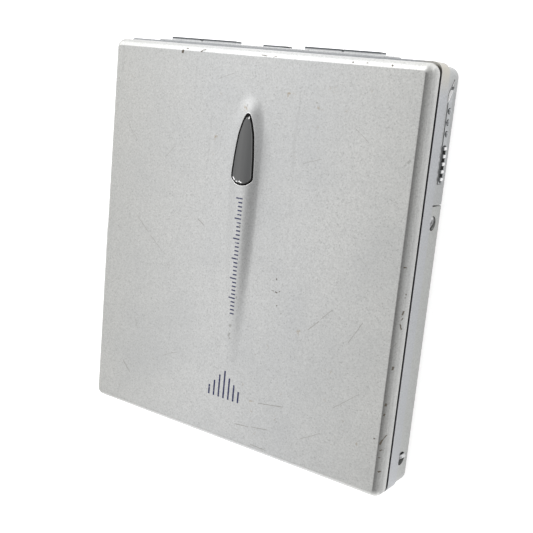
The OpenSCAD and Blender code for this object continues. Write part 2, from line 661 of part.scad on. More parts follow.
module deck() {
    color(steel) difference() {
        plate(-frame_in + 0.8, latch_x - 0.3, rod_y1 - 0.1, seam_y - 0.6, 2, deck_z, deck_t);
        post(disc_x, disc_y, deck_z - 1, deck_z + 2, table_r + 1.2);
        block(disc_x - 4.6, disc_x + 4.6, lens_y - sled_travel - 3.4, lens_y + 3.4, deck_z - 1, deck_z + 2);
        for (p = damper_xy) post(p[0], p[1], deck_z - 1, deck_z + 2, 1.3 + seat_gap);
    }
    color(steel) {
        for (x = [sled_x1, sled_x2], y = [rod_y1 - 0.1, rod_y2 - 1.1]) rod_hanger(x, y, rod_r);
        rod_hanger(screw_x, rod_y1 - 0.1, screw_r + run_gap);
        for (a = [45:90:315]) translate([disc_x, disc_y, 0]) rotate(a) block(table_r + 1.6, motor_r - 0.8, -1, 1, motor_top, deck_z + 0.05);
    }
}

// Bracket under the deck with a hole for a rod's end
module rod_hanger(x, y, r) {
    difference() {
        block(x - 1.7, x + 1.7, y, y + 1.2, rod_z - 1.5, deck_z + 0.05);
        rod_y(x, rod_z, r, y - 1, y + 3);
    }
}

module dampers() {
    color(black) for (p = damper_xy) difference() {
        union() {
            post(p[0], p[1], deck_z - damper_h, deck_z - seat_gap, 1.9);
            post(p[0], p[1], deck_z - damper_h, deck_z + deck_t + damper_h - 0.2, 1.3);
            post(p[0], p[1], deck_z + deck_t + seat_gap, deck_z + deck_t + damper_h - 0.2, 1.7);
        }
        post(p[0], p[1], deck_z - 2, deck_z + 3, 0.7 + seat_gap);
    }
}

module spindle_motor() {
    color(steel) {
        post(disc_x, disc_y, motor_z, motor_top, motor_r);
        post(disc_x, disc_y, motor_top - 0.1, motor_top + 0.35, 2.2);
        post(disc_x, disc_y, motor_top, table_top - 0.3, 0.75);
    }
}

module turntable() {
    color(black) difference() {
        union() {
            post(disc_x, disc_y, deck_z + 0.35, table_top - 0.3, table_r);
            post(disc_x, disc_y, deck_z + 0.35, table_top, 2.2);
        }
        post(disc_x, disc_y, deck_z, table_top - 0.3 + run_gap, 0.75 + run_gap);
    }
}

module guide_rods() {
    color(steel) for (x = [sled_x1, sled_x2]) rod_y(x, rod_z, rod_r, rod_y1, rod_y2);
}

module sled_motor() {
    color(steel) rod_y(screw_x, rod_z, 2.1, rod_y2 + 0.3, rod_y2 + 8);
    color(steel) block(screw_x - 2, screw_x + 2, rod_y2 + 1, rod_y2 + 7, rod_z + 1, deck_z);
}

module lead_screw() {
    color(steel) difference() {
        rod_y(screw_x, rod_z, screw_r, rod_y1 + 0.1, rod_y2 + 0.1);
        for (i = [0:11]) translate([screw_x, rod_y1 + 3 + 2 * i, rod_z]) rotate([-90, 0, 0]) rotate_extrude()
            polygon([[screw_r - 0.25, 0.4], [screw_r + 0.2, 0], [screw_r + 0.2, 0.8]]);
    }
}

// Sled that carries the laser unit along the rods, with a finger on the lead screw
module optical_pickup() {
    color(shade) difference() {
        union() {
            block(sled_x1 + 1.6, sled_x2 - 1.6, sled_y1, sled_y2, 1.2, 4.6);
            rod_y(sled_x1, rod_z, 1.7, sled_y1 + 0.5, sled_y2 - 0.5);
            rod_y(sled_x2, rod_z, 1.7, sled_y1 + 2, sled_y2 - 2);
            block(sled_x1, sled_x1 + 2, sled_y1 + 0.5, sled_y2 - 0.5, rod_z - 1.2, rod_z + 1.2);
            block(sled_x2 - 2, sled_x2, sled_y1 + 2, sled_y2 - 2, rod_z - 1.2, rod_z + 1.2);
            block(screw_x + screw_r + 0.15, sled_x1, lens_y - 1.2, lens_y + 1.2, rod_z - 0.5, rod_z + 0.5);
            block(disc_x - 3.8, disc_x + 3.8, lens_y - 2.9, lens_y + 2.9, 4.5, deck_z + 0.2);
        }
        for (x = [sled_x1, sled_x2]) rod_y(x, rod_z, rod_r + run_gap, sled_y1 - 1, sled_y2 + 1);
        post(disc_x, lens_y, 2, deck_z + 2, 2);
    }
}

module objective_lens() {
    color([0.35, 0.45, 0.6]) intersection() {
        translate([disc_x, lens_y, deck_z - 2.4]) sphere(3.2);
        post(disc_x, lens_y, deck_z - 0.6, deck_z + 2, 2);
    }
}

module main_board() {
    color(board_green) difference() {
        union() {
            block(sled_x2 + 2.4, latch_x - 0.5, 3.5 - y_out, seam_y - 1.6, board_z, board_z + board_h);
            block(2.5 - x_out, latch_x - 0.5, disc_y + motor_r + 1.2, seam_y - 1.6, board_z, board_z + board_h);
        }
        for (p = damper_xy) post(p[0], p[1], 0, rear_h, 2.3);
        for (p = back_screw_xy) post(p[0], p[1], 0, rear_h, 0.7);
    }
}

chip_x = (sled_x2 + latch_x) / 2 + 1.1;
chip_y = seam_y - 4.85;
chip_rows = [[chip_x, disc_y - 16.7, 7, 7], [chip_x, disc_y - 3.7, 5, 5], [chip_x + 1, disc_y + 9.3, 4, 5],
             [chip_x - 5, disc_y - 29.7, 3, 2], [disc_x - 21, chip_y, 5, 2.2], [disc_x - 6, chip_y, 4, 2],
             [disc_x + 7, chip_y, 3, 2.4], [chip_x + 3, disc_y - 30.7, 2.5, 3]];
module board_chips() {
    color(black) for (c = chip_rows) block(c[0] - c[2], c[0] + c[2], c[1] - c[3], c[1] + c[3], board_z + board_h, board_z + board_h + 0.9);
}

module battery() {
    color(steel) {
        plate(batt_x1, batt_x2 - 0.5, batt_y - batt_w / 2, batt_y + batt_w / 2, 1, batt_z, batt_h);
        rod_x(batt_y + batt_w / 4, batt_z + batt_h / 2, 2, batt_x2 - 0.6, batt_x2);
    }
}

// Bent blades at the far end of the bay, one for each pole
module battery_contacts() {
    color([0.8, 0.68, 0.4]) for (s = [-1, 1]) translate([0, batt_y + s * batt_w / 4 + 1.5, 0]) rotate([90, 0, 0]) linear_extrude(3)
        polygon([[bay_end, batt_z + 0.4], [bay_end - 0.3, batt_z + 0.4], [batt_x2 + 0.3, batt_z + 3.2],
                 [bay_end - 0.3, batt_z + 4.8], [bay_end, batt_z + 4.8], [batt_x2 + 0.7, batt_z + 3.2]]);
}

module battery_door() {
    color(shade) difference() {
        union() {
            block(-shell_x, -shell_x + door_t, door_y1, door_pin_y, door_z1, door_z2);
            post(door_x, door_pin_y, door_z1, door_z2, door_t / 2);
            for (i = [0:5]) block(-shell_x - 0.2, -shell_x + 0.1, door_y1 + 1.5 + i, door_y1 + 2 + i, door_z1 + 1.5, door_z2 - 1.5);
        }
        post(door_x, door_pin_y, 0, door_z2 + 1, door_pin_r + run_gap);
    }
}

module door_pin() {
    color(steel) post(door_x, door_pin_y, pin_foot_z, door_z2 + slide_gap, door_pin_r);
}

module headphone_socket() {
    color(black) difference() {
        union() {
            rod_y(jack_x, jack_z, collar_r, -shell_y, -shell_y + 3);
            block(jack_x - 3.2, jack_x + 3.2, -shell_y + shell_t + back_r / 2, -shell_y + jack_l + 1, floor_t + 0.05, jack_z + 2.3);
        }
        rod_y(jack_x, jack_z, jack_r, -shell_y - 1, -shell_y + jack_l);
    }
}

module charge_contacts() {
    color([0.8, 0.68, 0.4]) for (x = charge_x) block(x - 1.5, x + 1.5, -shell_y + 0.1, -shell_y + 1.5, 2, 4);
}

rear_cover();
control_shell();
mid_frame();
key_trim();
key_volume_down();
key_volume_up();
key_play();
key_stop();
hold_slider();
key_board();
key_switches();
open_slider();
latch_plate();
open_spring();
lid_panel();
window_lens();
window_rim();
lid_liner();
lid_screws();
disc_holder();
cartridge_springs();
hinge_pins();
deck();
dampers();
spindle_motor();
turntable();
guide_rods();
lead_screw();
sled_motor();
optical_pickup();
objective_lens();
main_board();
board_chips();
battery();
battery_contacts();
battery_door();
door_pin();
headphone_socket();
charge_contacts();
side_screws();
back_screws();
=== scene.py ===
# Portable minidisc player in worn silver paint, lying on its back with the lid up.
import math
import bmesh
import bpy
from mathutils import Matrix, Vector


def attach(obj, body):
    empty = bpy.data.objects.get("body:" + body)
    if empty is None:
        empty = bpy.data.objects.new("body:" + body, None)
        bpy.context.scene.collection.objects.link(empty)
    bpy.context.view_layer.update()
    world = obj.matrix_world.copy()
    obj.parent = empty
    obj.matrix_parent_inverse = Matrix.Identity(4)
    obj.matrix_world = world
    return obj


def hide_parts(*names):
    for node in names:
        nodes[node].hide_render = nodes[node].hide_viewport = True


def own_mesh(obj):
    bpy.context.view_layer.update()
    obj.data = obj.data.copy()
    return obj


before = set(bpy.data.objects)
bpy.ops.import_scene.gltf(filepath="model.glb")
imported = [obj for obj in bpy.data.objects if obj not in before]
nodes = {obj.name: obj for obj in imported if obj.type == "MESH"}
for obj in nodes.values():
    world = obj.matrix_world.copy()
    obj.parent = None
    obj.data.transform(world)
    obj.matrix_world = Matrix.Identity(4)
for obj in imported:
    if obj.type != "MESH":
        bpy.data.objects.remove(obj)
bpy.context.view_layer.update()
mm = 0.001
print("frame loaded:", len(nodes), "nodes")

# Camera, from the vanishing lines of the case in the photograph

photoCamera = {
    "place": Vector((111.34, 38.68, 168.13)) * mm,
    "looksAlong": Vector((-0.54358, -0.20886, -0.81296)),
    "upward": Vector((-0.19526, 0.97344, -0.11954)),
    "lens": 60.99,
    "sensor": 36.0,
}


def makeCamera(spec):
    camera = bpy.data.objects.new("photoCamera", bpy.data.cameras.new("photoCamera"))
    back = -spec["looksAlong"].normalized()
    side = spec["upward"].cross(back).normalized()
    upward = back.cross(side)
    turn = Matrix((side, upward, back)).transposed()
    camera.matrix_world = Matrix.Translation(spec["place"]) @ turn.to_4x4()
    camera.data.lens = spec["lens"]
    camera.data.sensor_width = spec["sensor"]
    camera.data.clip_start = 0.01
    camera.data.clip_end = 10
    bpy.context.scene.collection.objects.link(camera)
    bpy.context.scene.camera = camera


makeCamera(photoCamera)

# Floor and soft studio light

studio = {
    "floorSize": 3.0,
    "floorDrop": 0.00015,
    "floorColour": (0.93, 0.93, 0.93),
    "floorRoughness": 0.9,
    "floorGlow": 0.64,
    "skyStrength": 0.92,
    "patches": [  # direction, cosines from rim to core, brightness there
        ((-0.6, 0.7, 0.4), 0.7, 0.93, 2.5),
        ((0.21, -0.21, 0.955), 0.74, 1.0, 0.2),
        ((0.865, -0.21, 0.455), 0.3, 1.0, 0.6),
    ],
    "lamps": [  # name, place, aim, width, height, power
        ("farWindow", (-0.75, -0.25, 0.95), (0, 0, 0), 0.9, 0.9, 0.6),
    ],
}


def setInputs(tree, node, inputs):
    for key, value in inputs.items():
        if isinstance(value, bpy.types.NodeSocket):
            tree.links.new(value, node.inputs[key])
        else:
            node.inputs[key].default_value = value


def treeNode(tree, kind, settings=None, inputs=None):
    node = tree.nodes.new(kind)
    for key, value in (settings or {}).items():
        setattr(node, key, value)
    setInputs(tree, node, inputs or {})
    return node


def addNode(finish, kind, settings=None, inputs=None):
    return treeNode(finish.node_tree, kind, settings, inputs)


def dress(finish, inputs):  # values or sockets for the finish's shader
    setInputs(finish.node_tree, finish.node_tree.nodes["Principled BSDF"], inputs)


def newFinish(name, colour, roughness, metallic=0.0):
    finish = bpy.data.materials.new(name)
    finish.use_nodes = True
    dress(finish, {"Base Color": (*colour, 1), "Roughness": roughness, "Metallic": metallic})
    return finish


def combine(finish, operation, first, second):
    return addNode(finish, "ShaderNodeMath", {"operation": operation}, {0: first, 1: second}).outputs[0]


def makeSky(spec):
    world = bpy.data.worlds.new("paleStudio")
    world.use_nodes = True
    tree = world.node_tree
    direction = treeNode(tree, "ShaderNodeTexCoord").outputs["Generated"]
    strength = spec["skyStrength"]
    for way, rim, core, value in spec["patches"]:
        dot = treeNode(tree, "ShaderNodeVectorMath", {"operation": "DOT_PRODUCT"}, {
            0: direction, 1: Vector(way).normalized()})
        fade = treeNode(tree, "ShaderNodeMapRange", {"interpolation_type": "SMOOTHSTEP"}, {
            "Value": dot.outputs["Value"], "From Min": rim, "From Max": core, "To Min": 1.0, "To Max": value})
        strength = treeNode(tree, "ShaderNodeMath", {"operation": "MULTIPLY"}, {
            0: strength, 1: fade.outputs["Result"]}).outputs["Value"]
    setInputs(tree, tree.nodes["Background"], {"Color": (1, 1, 1, 1), "Strength": strength})
    bpy.context.scene.world = world


def makeFloor(spec):
    half = spec["floorSize"] / 2
    low = -spec["floorDrop"]
    mesh = bpy.data.meshes.new("studioFloor")
    corners = [(-half, -half, low), (half, -half, low), (half, half, low), (-half, half, low)]
    mesh.from_pydata(corners, [], [(0, 1, 2, 3)])
    paper = newFinish("palePaper", spec["floorColour"], spec["floorRoughness"])
    backface = addNode(paper, "ShaderNodeNewGeometry").outputs["Backfacing"]
    dress(paper, {"Emission Color": (1, 1, 1, 1), "Emission Strength": spec["floorGlow"],
                  "Alpha": combine(paper, "SUBTRACT", 1.0, backface)})  # clear from below, so the back shows
    mesh.materials.append(paper)
    floor = bpy.data.objects.new("studioFloor", mesh)
    bpy.context.scene.collection.objects.link(floor)


def makeLamps(spec):
    for name, place, aim, width, height, power in spec["lamps"]:
        lamp = bpy.data.lights.new(name, "AREA")
        lamp.shape = "RECTANGLE"
        lamp.size = width
        lamp.size_y = height
        lamp.energy = power
        stand = bpy.data.objects.new(name, lamp)
        stand.location = place
        stand.rotation_euler = (Vector(aim) - Vector(place)).to_track_quat("-Z", "Y").to_euler()
        bpy.context.scene.collection.objects.link(stand)


bpy.context.scene.view_settings.view_transform = "Standard"
makeSky(studio)
makeFloor(studio)
makeLamps(studio)
print("camera and studio ready")

# Finishes


def objectPoint(finish):
    return addNode(finish, "ShaderNodeTexCoord").outputs["Object"]


def noise(finish, scale, detail=2.0, rough=0.5, stretch=(1, 1, 1), turn=(0, 0, 0)):
    where = addNode(finish, "ShaderNodeMapping", inputs={
        "Vector": objectPoint(finish), "Scale": stretch, "Rotation": turn}).outputs["Vector"]
    return addNode(finish, "ShaderNodeTexNoise", inputs={
        "Vector": where, "Scale": scale, "Detail": detail, "Roughness": rough}).outputs["Fac"]


def remap(finish, value, low, high, toLow=0.0, toHigh=1.0):
    node = addNode(finish, "ShaderNodeMapRange", inputs={
        "Value": value, "From Min": low, "From Max": high, "To Min": toLow, "To Max": toHigh})
    return node.outputs["Result"]


def scaled(colour, factor):
    return tuple(min(1, c * factor) for c in colour)


def blendColours(finish, amount, first, second, how="MIX"):
    first, second = (c if isinstance(c, bpy.types.NodeSocket) else (*c, 1) for c in (first, second))
    return addNode(finish, "ShaderNodeMix", {"data_type": "RGBA", "blend_type": how}, {
        0: amount, 6: first, 7: second}).outputs[2]


def vary(finish, value, low, high, first, second, most=1.0):
    return blendColours(finish, remap(finish, value, low, high, 0.0, most), first, second)


def bumps(finish, height, strength, depth, below=None):
    inputs = {"Height": height, "Strength": strength, "Distance": depth}
    if below is not None:
        inputs["Normal"] = below
    return addNode(finish, "ShaderNodeBump", inputs=inputs).outputs["Normal"]


def stain(finish, base, colour, centre, radius, amount):
    away = addNode(finish, "ShaderNodeVectorMath", {"operation": "DISTANCE"}, {
        0: objectPoint(finish), 1: [c * mm for c in centre]}).outputs["Value"]
    return blendColours(finish, remap(finish, away, 0, radius * mm, amount, 0.0), base, colour)


def beyond(finish, axis, start, end):
    split = addNode(finish, "ShaderNodeSeparateXYZ", inputs={"Vector": objectPoint(finish)})
    return remap(finish, split.outputs[axis], start * mm, end * mm)


def shadeBeyond(finish, base, tint, axis, start, end, within=None):  # paints shade beyond a line; multiplies, so the grain stays
    amount = beyond(finish, axis, start, end)
    if within:
        amount = combine(finish, "MULTIPLY", amount, beyond(finish, *within))
    return blendColours(finish, amount, base, tint, "MULTIPLY")


silverPaint = {
    "cool": (0.47, 0.485, 0.50), "grime": (0.36, 0.30, 0.22), "roughness": (0.27, 0.35),
    "grainDepth": 0.00002,
    "noises": {  # scale, detail, roughness, stretch, turn
        "grain": (2600, 3.0, 0.7), "cloud": (55, 4.0, 0.6), "pepper": (3300, 1.0), "spots": (420, 5.0, 0.65),
        "patches": (38, 2.0), "scratch": (260, 4.0, 0.6, (1, 0.045, 1), (0, 0, 0.9)),
        "crossed": (260, 4.0, 0.6, (1, 0.05, 1), (0, 0, -0.6))},
}


def makeSilverPaint(name, colour, grime, metallic, edges=(), stains=()):
    finish = newFinish(name, colour, silverPaint["roughness"][1], metallic)
    grain, cloud, pepper, spots, patches, scratch, crossed = (
        noise(finish, *values) for values in silverPaint["noises"].values())
    paint = vary(finish, grain, 0.3, 0.7, scaled(colour, 0.84), scaled(colour, 1.13))
    paint = vary(finish, cloud, 0.35, 0.75, paint, silverPaint["cool"], 0.35)
    paint = vary(finish, pepper, 0.62, 0.72, paint, scaled(colour, 0.55), 0.5)
    dirt = combine(finish, "MULTIPLY", remap(finish, spots, 0.66, 0.74),
                   remap(finish, patches, 0.5, 0.62, 0.0, grime))
    paint = blendColours(finish, dirt, paint, silverPaint["grime"])
    marks = combine(finish, "MAXIMUM", remap(finish, scratch, 0.68, 0.72), remap(finish, crossed, 0.69, 0.73))
    paint = vary(finish, marks, 0, 1, paint, scaled(colour, 0.72), 0.25)
    for spot in stains:
        paint = stain(finish, paint, *spot)
    for edge in edges:
        paint = shadeBeyond(finish, paint, *edge)
    depth = silverPaint["grainDepth"]
    relief = bumps(finish, marks, 0.15, depth, bumps(finish, grain, 0.55, depth))
    dress(finish, {"Base Color": paint, "Normal": relief,
                   "Roughness": remap(finish, cloud, 0.3, 0.7, *silverPaint["roughness"])})
    return finish


def makePlastic(name, colour, roughness, grainScale=1800, depth=0.00002):
    finish = newFinish(name, colour, roughness)
    grain = noise(finish, grainScale, 2.0, 0.6)
    cloud = noise(finish, 90, 3.0, 0.6)
    dress(finish, {
        "Base Color": vary(finish, cloud, 0.3, 0.7, scaled(colour, 0.9), scaled(colour, 1.08)),
        "Normal": bumps(finish, grain, 0.4, depth),
        "Roughness": remap(finish, cloud, 0.3, 0.7, roughness * 0.85, roughness * 1.15)})
    return finish


def makeSteel(name, colour, roughness, brushedAlong=(0.03, 1, 1), depth=0.0000012):
    finish = newFinish(name, colour, roughness, 1.0)
    brushed = noise(finish, 5200, 2.0, 0.5, brushedAlong)
    cloud = noise(finish, 70, 3.0, 0.55)
    tone = vary(finish, cloud, 0.3, 0.7, scaled(colour, 0.86), colour)
    dress(finish, {
        "Base Color": vary(finish, brushed, 0.35, 0.65, tone, scaled(colour, 0.78), 0.14),
        "Normal": bumps(finish, brushed, 0.3, depth),
        "Roughness": remap(finish, brushed, 0.3, 0.7, roughness * 0.85, roughness * 1.2)})
    return finish


def makeBoardFinish(name):
    green = (0.03, 0.13, 0.07)
    finish = newFinish(name, green, 0.4)
    tracks = addNode(finish, "ShaderNodeTexBrick", inputs={
        "Vector": objectPoint(finish), "Scale": 260.0, "Mortar Size": 0.03, "Color1": (*green, 1),
        "Color2": (0.035, 0.16, 0.08, 1), "Mortar": (0.1, 0.3, 0.14, 1)})
    dress(finish, {"Base Color": tracks.outputs["Color"],
                   "Normal": bumps(finish, tracks.outputs["Fac"], 0.3, 0.00002)})
    return finish


def makeWindowFinish(name):
    finish = newFinish(name, (0.105, 0.107, 0.108), 0.4)
    haze = noise(finish, 160, 3.0, 0.6)
    across = noise(finish, 420, 2.0, 0.5, (1, 0.02, 1))
    dress(finish, {
        "Base Color": vary(finish, across, 0.35, 0.65, (0.092, 0.094, 0.095), (0.12, 0.121, 0.121)),
        "Roughness": remap(finish, haze, 0.3, 0.7, 0.36, 0.46)})
    return finish


def makeLensFinish(name):
    finish = newFinish(name, (0.16, 0.2, 0.42), 0.04)
    coating = noise(finish, 300, 1.0)
    dress(finish, {"Base Color": vary(finish, coating, 0.3, 0.7, (0.10, 0.14, 0.38), (0.26, 0.16, 0.4)),
                   "Coat Weight": 1.0})
    return finish


batteryLook = {
    "wrap": ((0.085, 0.12, 0.20), (0.11, 0.155, 0.24)), "rubbed": (0.30, 0.33, 0.38),
    "stripe": (0.55, 0.56, 0.57), "stripeAlong": (18.5, 21.5),
    "bare": (0.46, 0.46, 0.45), "bareFrom": (24.5, -35.0), "edge": 0.05,
}


def makeBatteryFinish(name):  # bare metal ends, a printed wrap and a pale stripe at the contact end
    finish = newFinish(name, batteryLook["wrap"][1], 0.35)
    cloud = noise(finish, 90, 3.0, 0.6)
    worn = noise(finish, 700, 4.0, 0.65)
    wrap = vary(finish, cloud, 0.3, 0.7, *batteryLook["wrap"])
    wrap = vary(finish, worn, 0.64, 0.72, wrap, batteryLook["rubbed"], 0.6)
    edge = batteryLook["edge"]
    (start, stop), (right, left) = batteryLook["stripeAlong"], batteryLook["bareFrom"]
    stripe = combine(finish, "MULTIPLY", beyond(finish, 0, start, start + edge),
                     beyond(finish, 0, stop, stop - edge))
    ends = combine(finish, "MAXIMUM", beyond(finish, 0, right, right + edge),
                   beyond(finish, 0, left, left - edge))
    wrap = blendColours(finish, stripe, wrap, batteryLook["stripe"])
    dress(finish, {"Base Color": blendColours(finish, ends, wrap, batteryLook["bare"]), "Metallic": ends,
                   "Normal": bumps(finish, worn, 0.3, 0.000006),
                   "Roughness": remap(finish, cloud, 0.3, 0.7, 0.28, 0.4)})
    return finish


def makeInk(name):
    navy, rubbed = (0.012, 0.016, 0.09), (0.30, 0.31, 0.36)
    finish = newFinish(name, navy, 0.45)
    worn = noise(finish, 900, 4.0, 0.7)
    dress(finish, {"Base Color": vary(finish, worn, 0.56, 0.66, navy, rubbed)})
    return finish


# painted shade along the foot of the side walls, next to the floor
paintedBaseShade = ((0.45, 0.445, 0.44), 2, 0.75, 0.1, (2, 0.02, 0.07))
paints = {  # colour, grime, metallic, edges of painted shade (tint, axis, start, end, within), then stains
    # the lid: painted shade on the upper right wall and over the left half, and a faintly warmer tone toward
    # the right
    "lidPaint": ((0.562, 0.565, 0.56), 0.8, 0.92, [
        ((0.6, 0.6, 0.605), 0, 39.5, 39.78, (2, 10.0, 11.9)), ((0.88, 0.875, 0.855), 0, -8, -38),
        ((1.0, 0.995, 0.975), 0, 15, 38)]),
    "framePaint": ((0.38, 0.388, 0.404), 0.5, 0.92, (), [((0.44, 0.40, 0.31), (39.4, 42.8, 7.5), 5.5, 0.7)]),
    "rearPaint": ((0.385, 0.39, 0.378), 0.6, 0.92, [paintedBaseShade]),
    # keys and hold slider: painted shade on their +Y faces; the hold slider is also darker beyond x 2.5
    "keyPaint": ((0.82, 0.83, 0.83), 0.3, 0.15, [((0.11, 0.12, 0.133), 1, 44.2, 44.42)]),
    "holdPaint": ((0.74, 0.75, 0.76), 0.3, 0.15, [
        ((0.176, 0.187, 0.2), 1, 43.95, 44.1), ((0.3, 0.3, 0.3), 0, 2.5, 3.0)]),
    "trimPaint": ((0.66, 0.67, 0.67), 0.3, 0.2),
    "sliderPaint": ((0.42, 0.43, 0.44), 0.3, 0.5),
    "shellPlastic": ((0.36, 0.366, 0.366), 0.4, 0.6, [paintedBaseShade]),
}
plastics = {  # colour, roughness, grain scale, grain depth
    "slotWhite": ((0.93, 0.93, 0.93), 0.45, 2000, 0.000004),
    "lineGrey": ((0.24, 0.24, 0.24), 0.5, 2000, 0.000004),
    "blackPlastic": ((0.022, 0.022, 0.024), 0.5),
    "chipEpoxy": ((0.018, 0.018, 0.02), 0.6, 2600),
    "damperRubber": ((0.015, 0.015, 0.016), 0.8, 900),
    "rimBlack": ((0.006, 0.006, 0.006), 0.75, 900, 0.000004),
    "scuff": ((0.13, 0.11, 0.085), 0.7, 3000),
    "scrape": ((0.36, 0.35, 0.33), 0.6, 3000),
    "faintScuff": ((0.40, 0.40, 0.385), 0.6, 3000),
}
steels = {  # colour, roughness, how the brushing is stretched, its depth
    "sheetSteel": ((0.60, 0.60, 0.59), 0.3, (0.03, 1, 1), 0.0000004),
    "deckSteel": ((0.48, 0.485, 0.49), 0.38, (1, 0.03, 1)),
    "turnedSteel": ((0.7, 0.7, 0.71), 0.16, (1, 0.02, 1)),
    "motorCan": ((0.55, 0.55, 0.54), 0.25, (1, 1, 0.05)),
    "sledMetal": ((0.34, 0.35, 0.37), 0.5, (1, 1, 1), 0.000006),
    "goldPlate": ((0.85, 0.62, 0.28), 0.28),
    "screwSteel": ((0.6, 0.605, 0.61), 0.3, (1, 1, 1), 0.000004),
    "brightLip": ((0.9, 0.9, 0.9), 0.2, (1, 1, 1), 0.000002),
}
others = {"boardGreen": makeBoardFinish, "smokedWindow": makeWindowFinish, "lensGlass": makeLensFinish,
          "batteryWrap": makeBatteryFinish, "navyInk": makeInk}
finishes = {name: make(name) for name, make in others.items()}
for make, group in ((makeSilverPaint, paints), (makePlastic, plastics), (makeSteel, steels)):
    finishes.update({name: make(name, *values) for name, values in group.items()})
dress(finishes["rimBlack"], {"Specular IOR Level": 0.15})
# the white glows faintly: a painted highlight on the lens glints, the slider's cap and the slot liner
dress(finishes["slotWhite"], {"Emission Color": (1, 1, 1, 1), "Emission Strength": 0.3})
print("finishes ready:", len(finishes))

# Shapes made in mesh code, all in millimetres until the last step


def smoothAlong(where, stations):
    low = 0
    while low < len(stations) - 2 and where > stations[low + 1][0]:
        low += 1
    (a, b), (c, d) = stations[low], stations[low + 1]
    t = min(1.0, max(0.0, (where - a) / (c - a)))
    before = stations[low - 1] if low else stations[low]
    after = stations[low + 2] if low + 2 < len(stations) else stations[low + 1]
    startSlope = (d - before[1]) / (c - before[0]) * (c - a)
    endSlope = (after[1] - b) / (after[0] - a) * (c - a)
    return ((2 * t ** 3 - 3 * t ** 2 + 1) * b + (t ** 3 - 2 * t ** 2 + t) * startSlope
            + (3 * t ** 2 - 2 * t ** 3) * d + (t ** 3 - t ** 2) * endSlope)


def circle(count):
    return [(math.cos(2 * math.pi * k / count), math.sin(2 * math.pi * k / count)) for k in range(count)]


def joinLoops(loops, closed=False, capped=False):
    count = len(loops[0])
    pairs = list(zip(range(len(loops) - 1), range(1, len(loops))))
    if closed:
        pairs.append((len(loops) - 1, 0))
    points = [p for loop in loops for p in loop]
    faces = [(a * count + i, a * count + (i + 1) % count, b * count + (i + 1) % count, b * count + i)
             for a, b in pairs for i in range(count)]
    if capped:
        faces += [tuple(range(count - 1, -1, -1)), tuple(range(len(points) - count, len(points)))]
    return points, faces


def joinSolids(solids):
    points, faces = [], []
    for loops in solids:
        morePoints, moreFaces = joinLoops(loops, capped=True)
        faces += [tuple(len(points) + i for i in face) for face in moreFaces]
        points += morePoints
    return points, faces


def makePiece(name, points, faces, finish, smooth=True):
    mesh = bpy.data.meshes.new(name)
    mesh.from_pydata([Vector(p) * mm for p in points], [], faces)
    bm = bmesh.new()
    bm.from_mesh(mesh)
    bmesh.ops.remove_doubles(bm, verts=bm.verts, dist=1e-7)
    bmesh.ops.recalc_face_normals(bm, faces=bm.faces)
    bm.to_mesh(mesh)
    bm.free()
    mesh.polygons.foreach_set("use_smooth", [smooth] * len(mesh.polygons))
    mesh.materials.append(finish)
    piece = bpy.data.objects.new(name, mesh)
    bpy.context.scene.collection.objects.link(piece)
    return piece


def thicken(piece, thickness):  # inwards from the modelled face
    sheet = piece.modifiers.new("sheet", "SOLIDIFY")
    sheet.thickness = thickness * mm
    sheet.offset = -1


# Lid shell: a flat face with a spine, a crease and a convex border down to the gap line

lidShape = {
    "halfX": 40.0, "halfY": 43.3, "corner": 2.0, "face": 13.2, "wallFoot": 10.08, "wallTop": 11.05,
    "border": 1.53, "sheet": 0.5, "crease": 0.14, "groove": (0.12, -0.03), "footChamfer": (0.12, 0.04),
    "fineHalf": 4, "fineStep": 0.2, "coarseColumns": 22, "margin": 0.5, "rows": 150, "squeezedFrom": 30,
    "cornerAngles": (12, 24, 36, 48, 60, 70, 80, 90), "borderSteps": 12,
    "spineWidths": [(-26, 2.4), (-20, 3.0), (-10, 3.8), (1, 4.5), (14, 5.3), (20, 5.7), (24, 5.6), (27, 5.0),
                    (30, 4.0), (36, 2.8)],
    "spineHeights": [(-26, 0), (-20, 0.12), (-12, 0.31), (0, 0.56), (10, 0.70), (16, 0.78), (22, 0.77),
                     (26, 0.71), (29, 0.62), (30.6, 0.51), (32, 0.29), (33.2, 0.1), (34.4, 0.02), (36, 0)],
    "hingeStep": [(-43.3, 0), (-30, 0), (-19.5, 0.06), (-8, 0.1), (-0.9, 0.13), (-0.3, 0.0), (43.3, 0)],
    "stepWithin": 0.8,
}


def spineHeight(x, y):
    stations = lidShape["spineHeights"]
    if not stations[0][0] < y < stations[-1][0]:
        return 0.0
    across = min(1.0, abs(x) / smoothAlong(y, lidShape["spineWidths"]))
    return max(0.0, smoothAlong(y, stations)) * 0.5 * (1 + math.cos(math.pi * across))


def steppedEdge(y):
    stations = lidShape["hingeStep"]
    for (a, b), (c, d) in zip(stations, stations[1:]):
        if a <= y <= c:
            return b + (d - b) * (y - a) / (c - a)
    return 0.0


def lidColumns(shape, flatX):
    fine, step, count = shape["fineHalf"], shape["fineStep"], shape["coarseColumns"]
    span = flatX - shape["margin"] - fine
    right = [i * step for i in range(round(fine / step) + 1)]
    right += [fine + span * (i / count) for i in range(1, count + 1)] + [flatX - shape["crease"], flatX]
    return [-x for x in reversed(right[1:])] + right


def lidRows(shape, flatX, midX, midY):  # each row's y, and how far it reaches
    small = shape["corner"] - shape["border"]
    straight = [(-midY + 2 * midY * i / shape["rows"], flatX) for i in range(shape["rows"] + 1)]
    angles = map(math.radians, shape["cornerAngles"])
    turns = [(midY + small * math.sin(a), midX + small * math.cos(a)) for a in angles]
    return [(-y, reach) for y, reach in reversed(turns)] + straight + turns


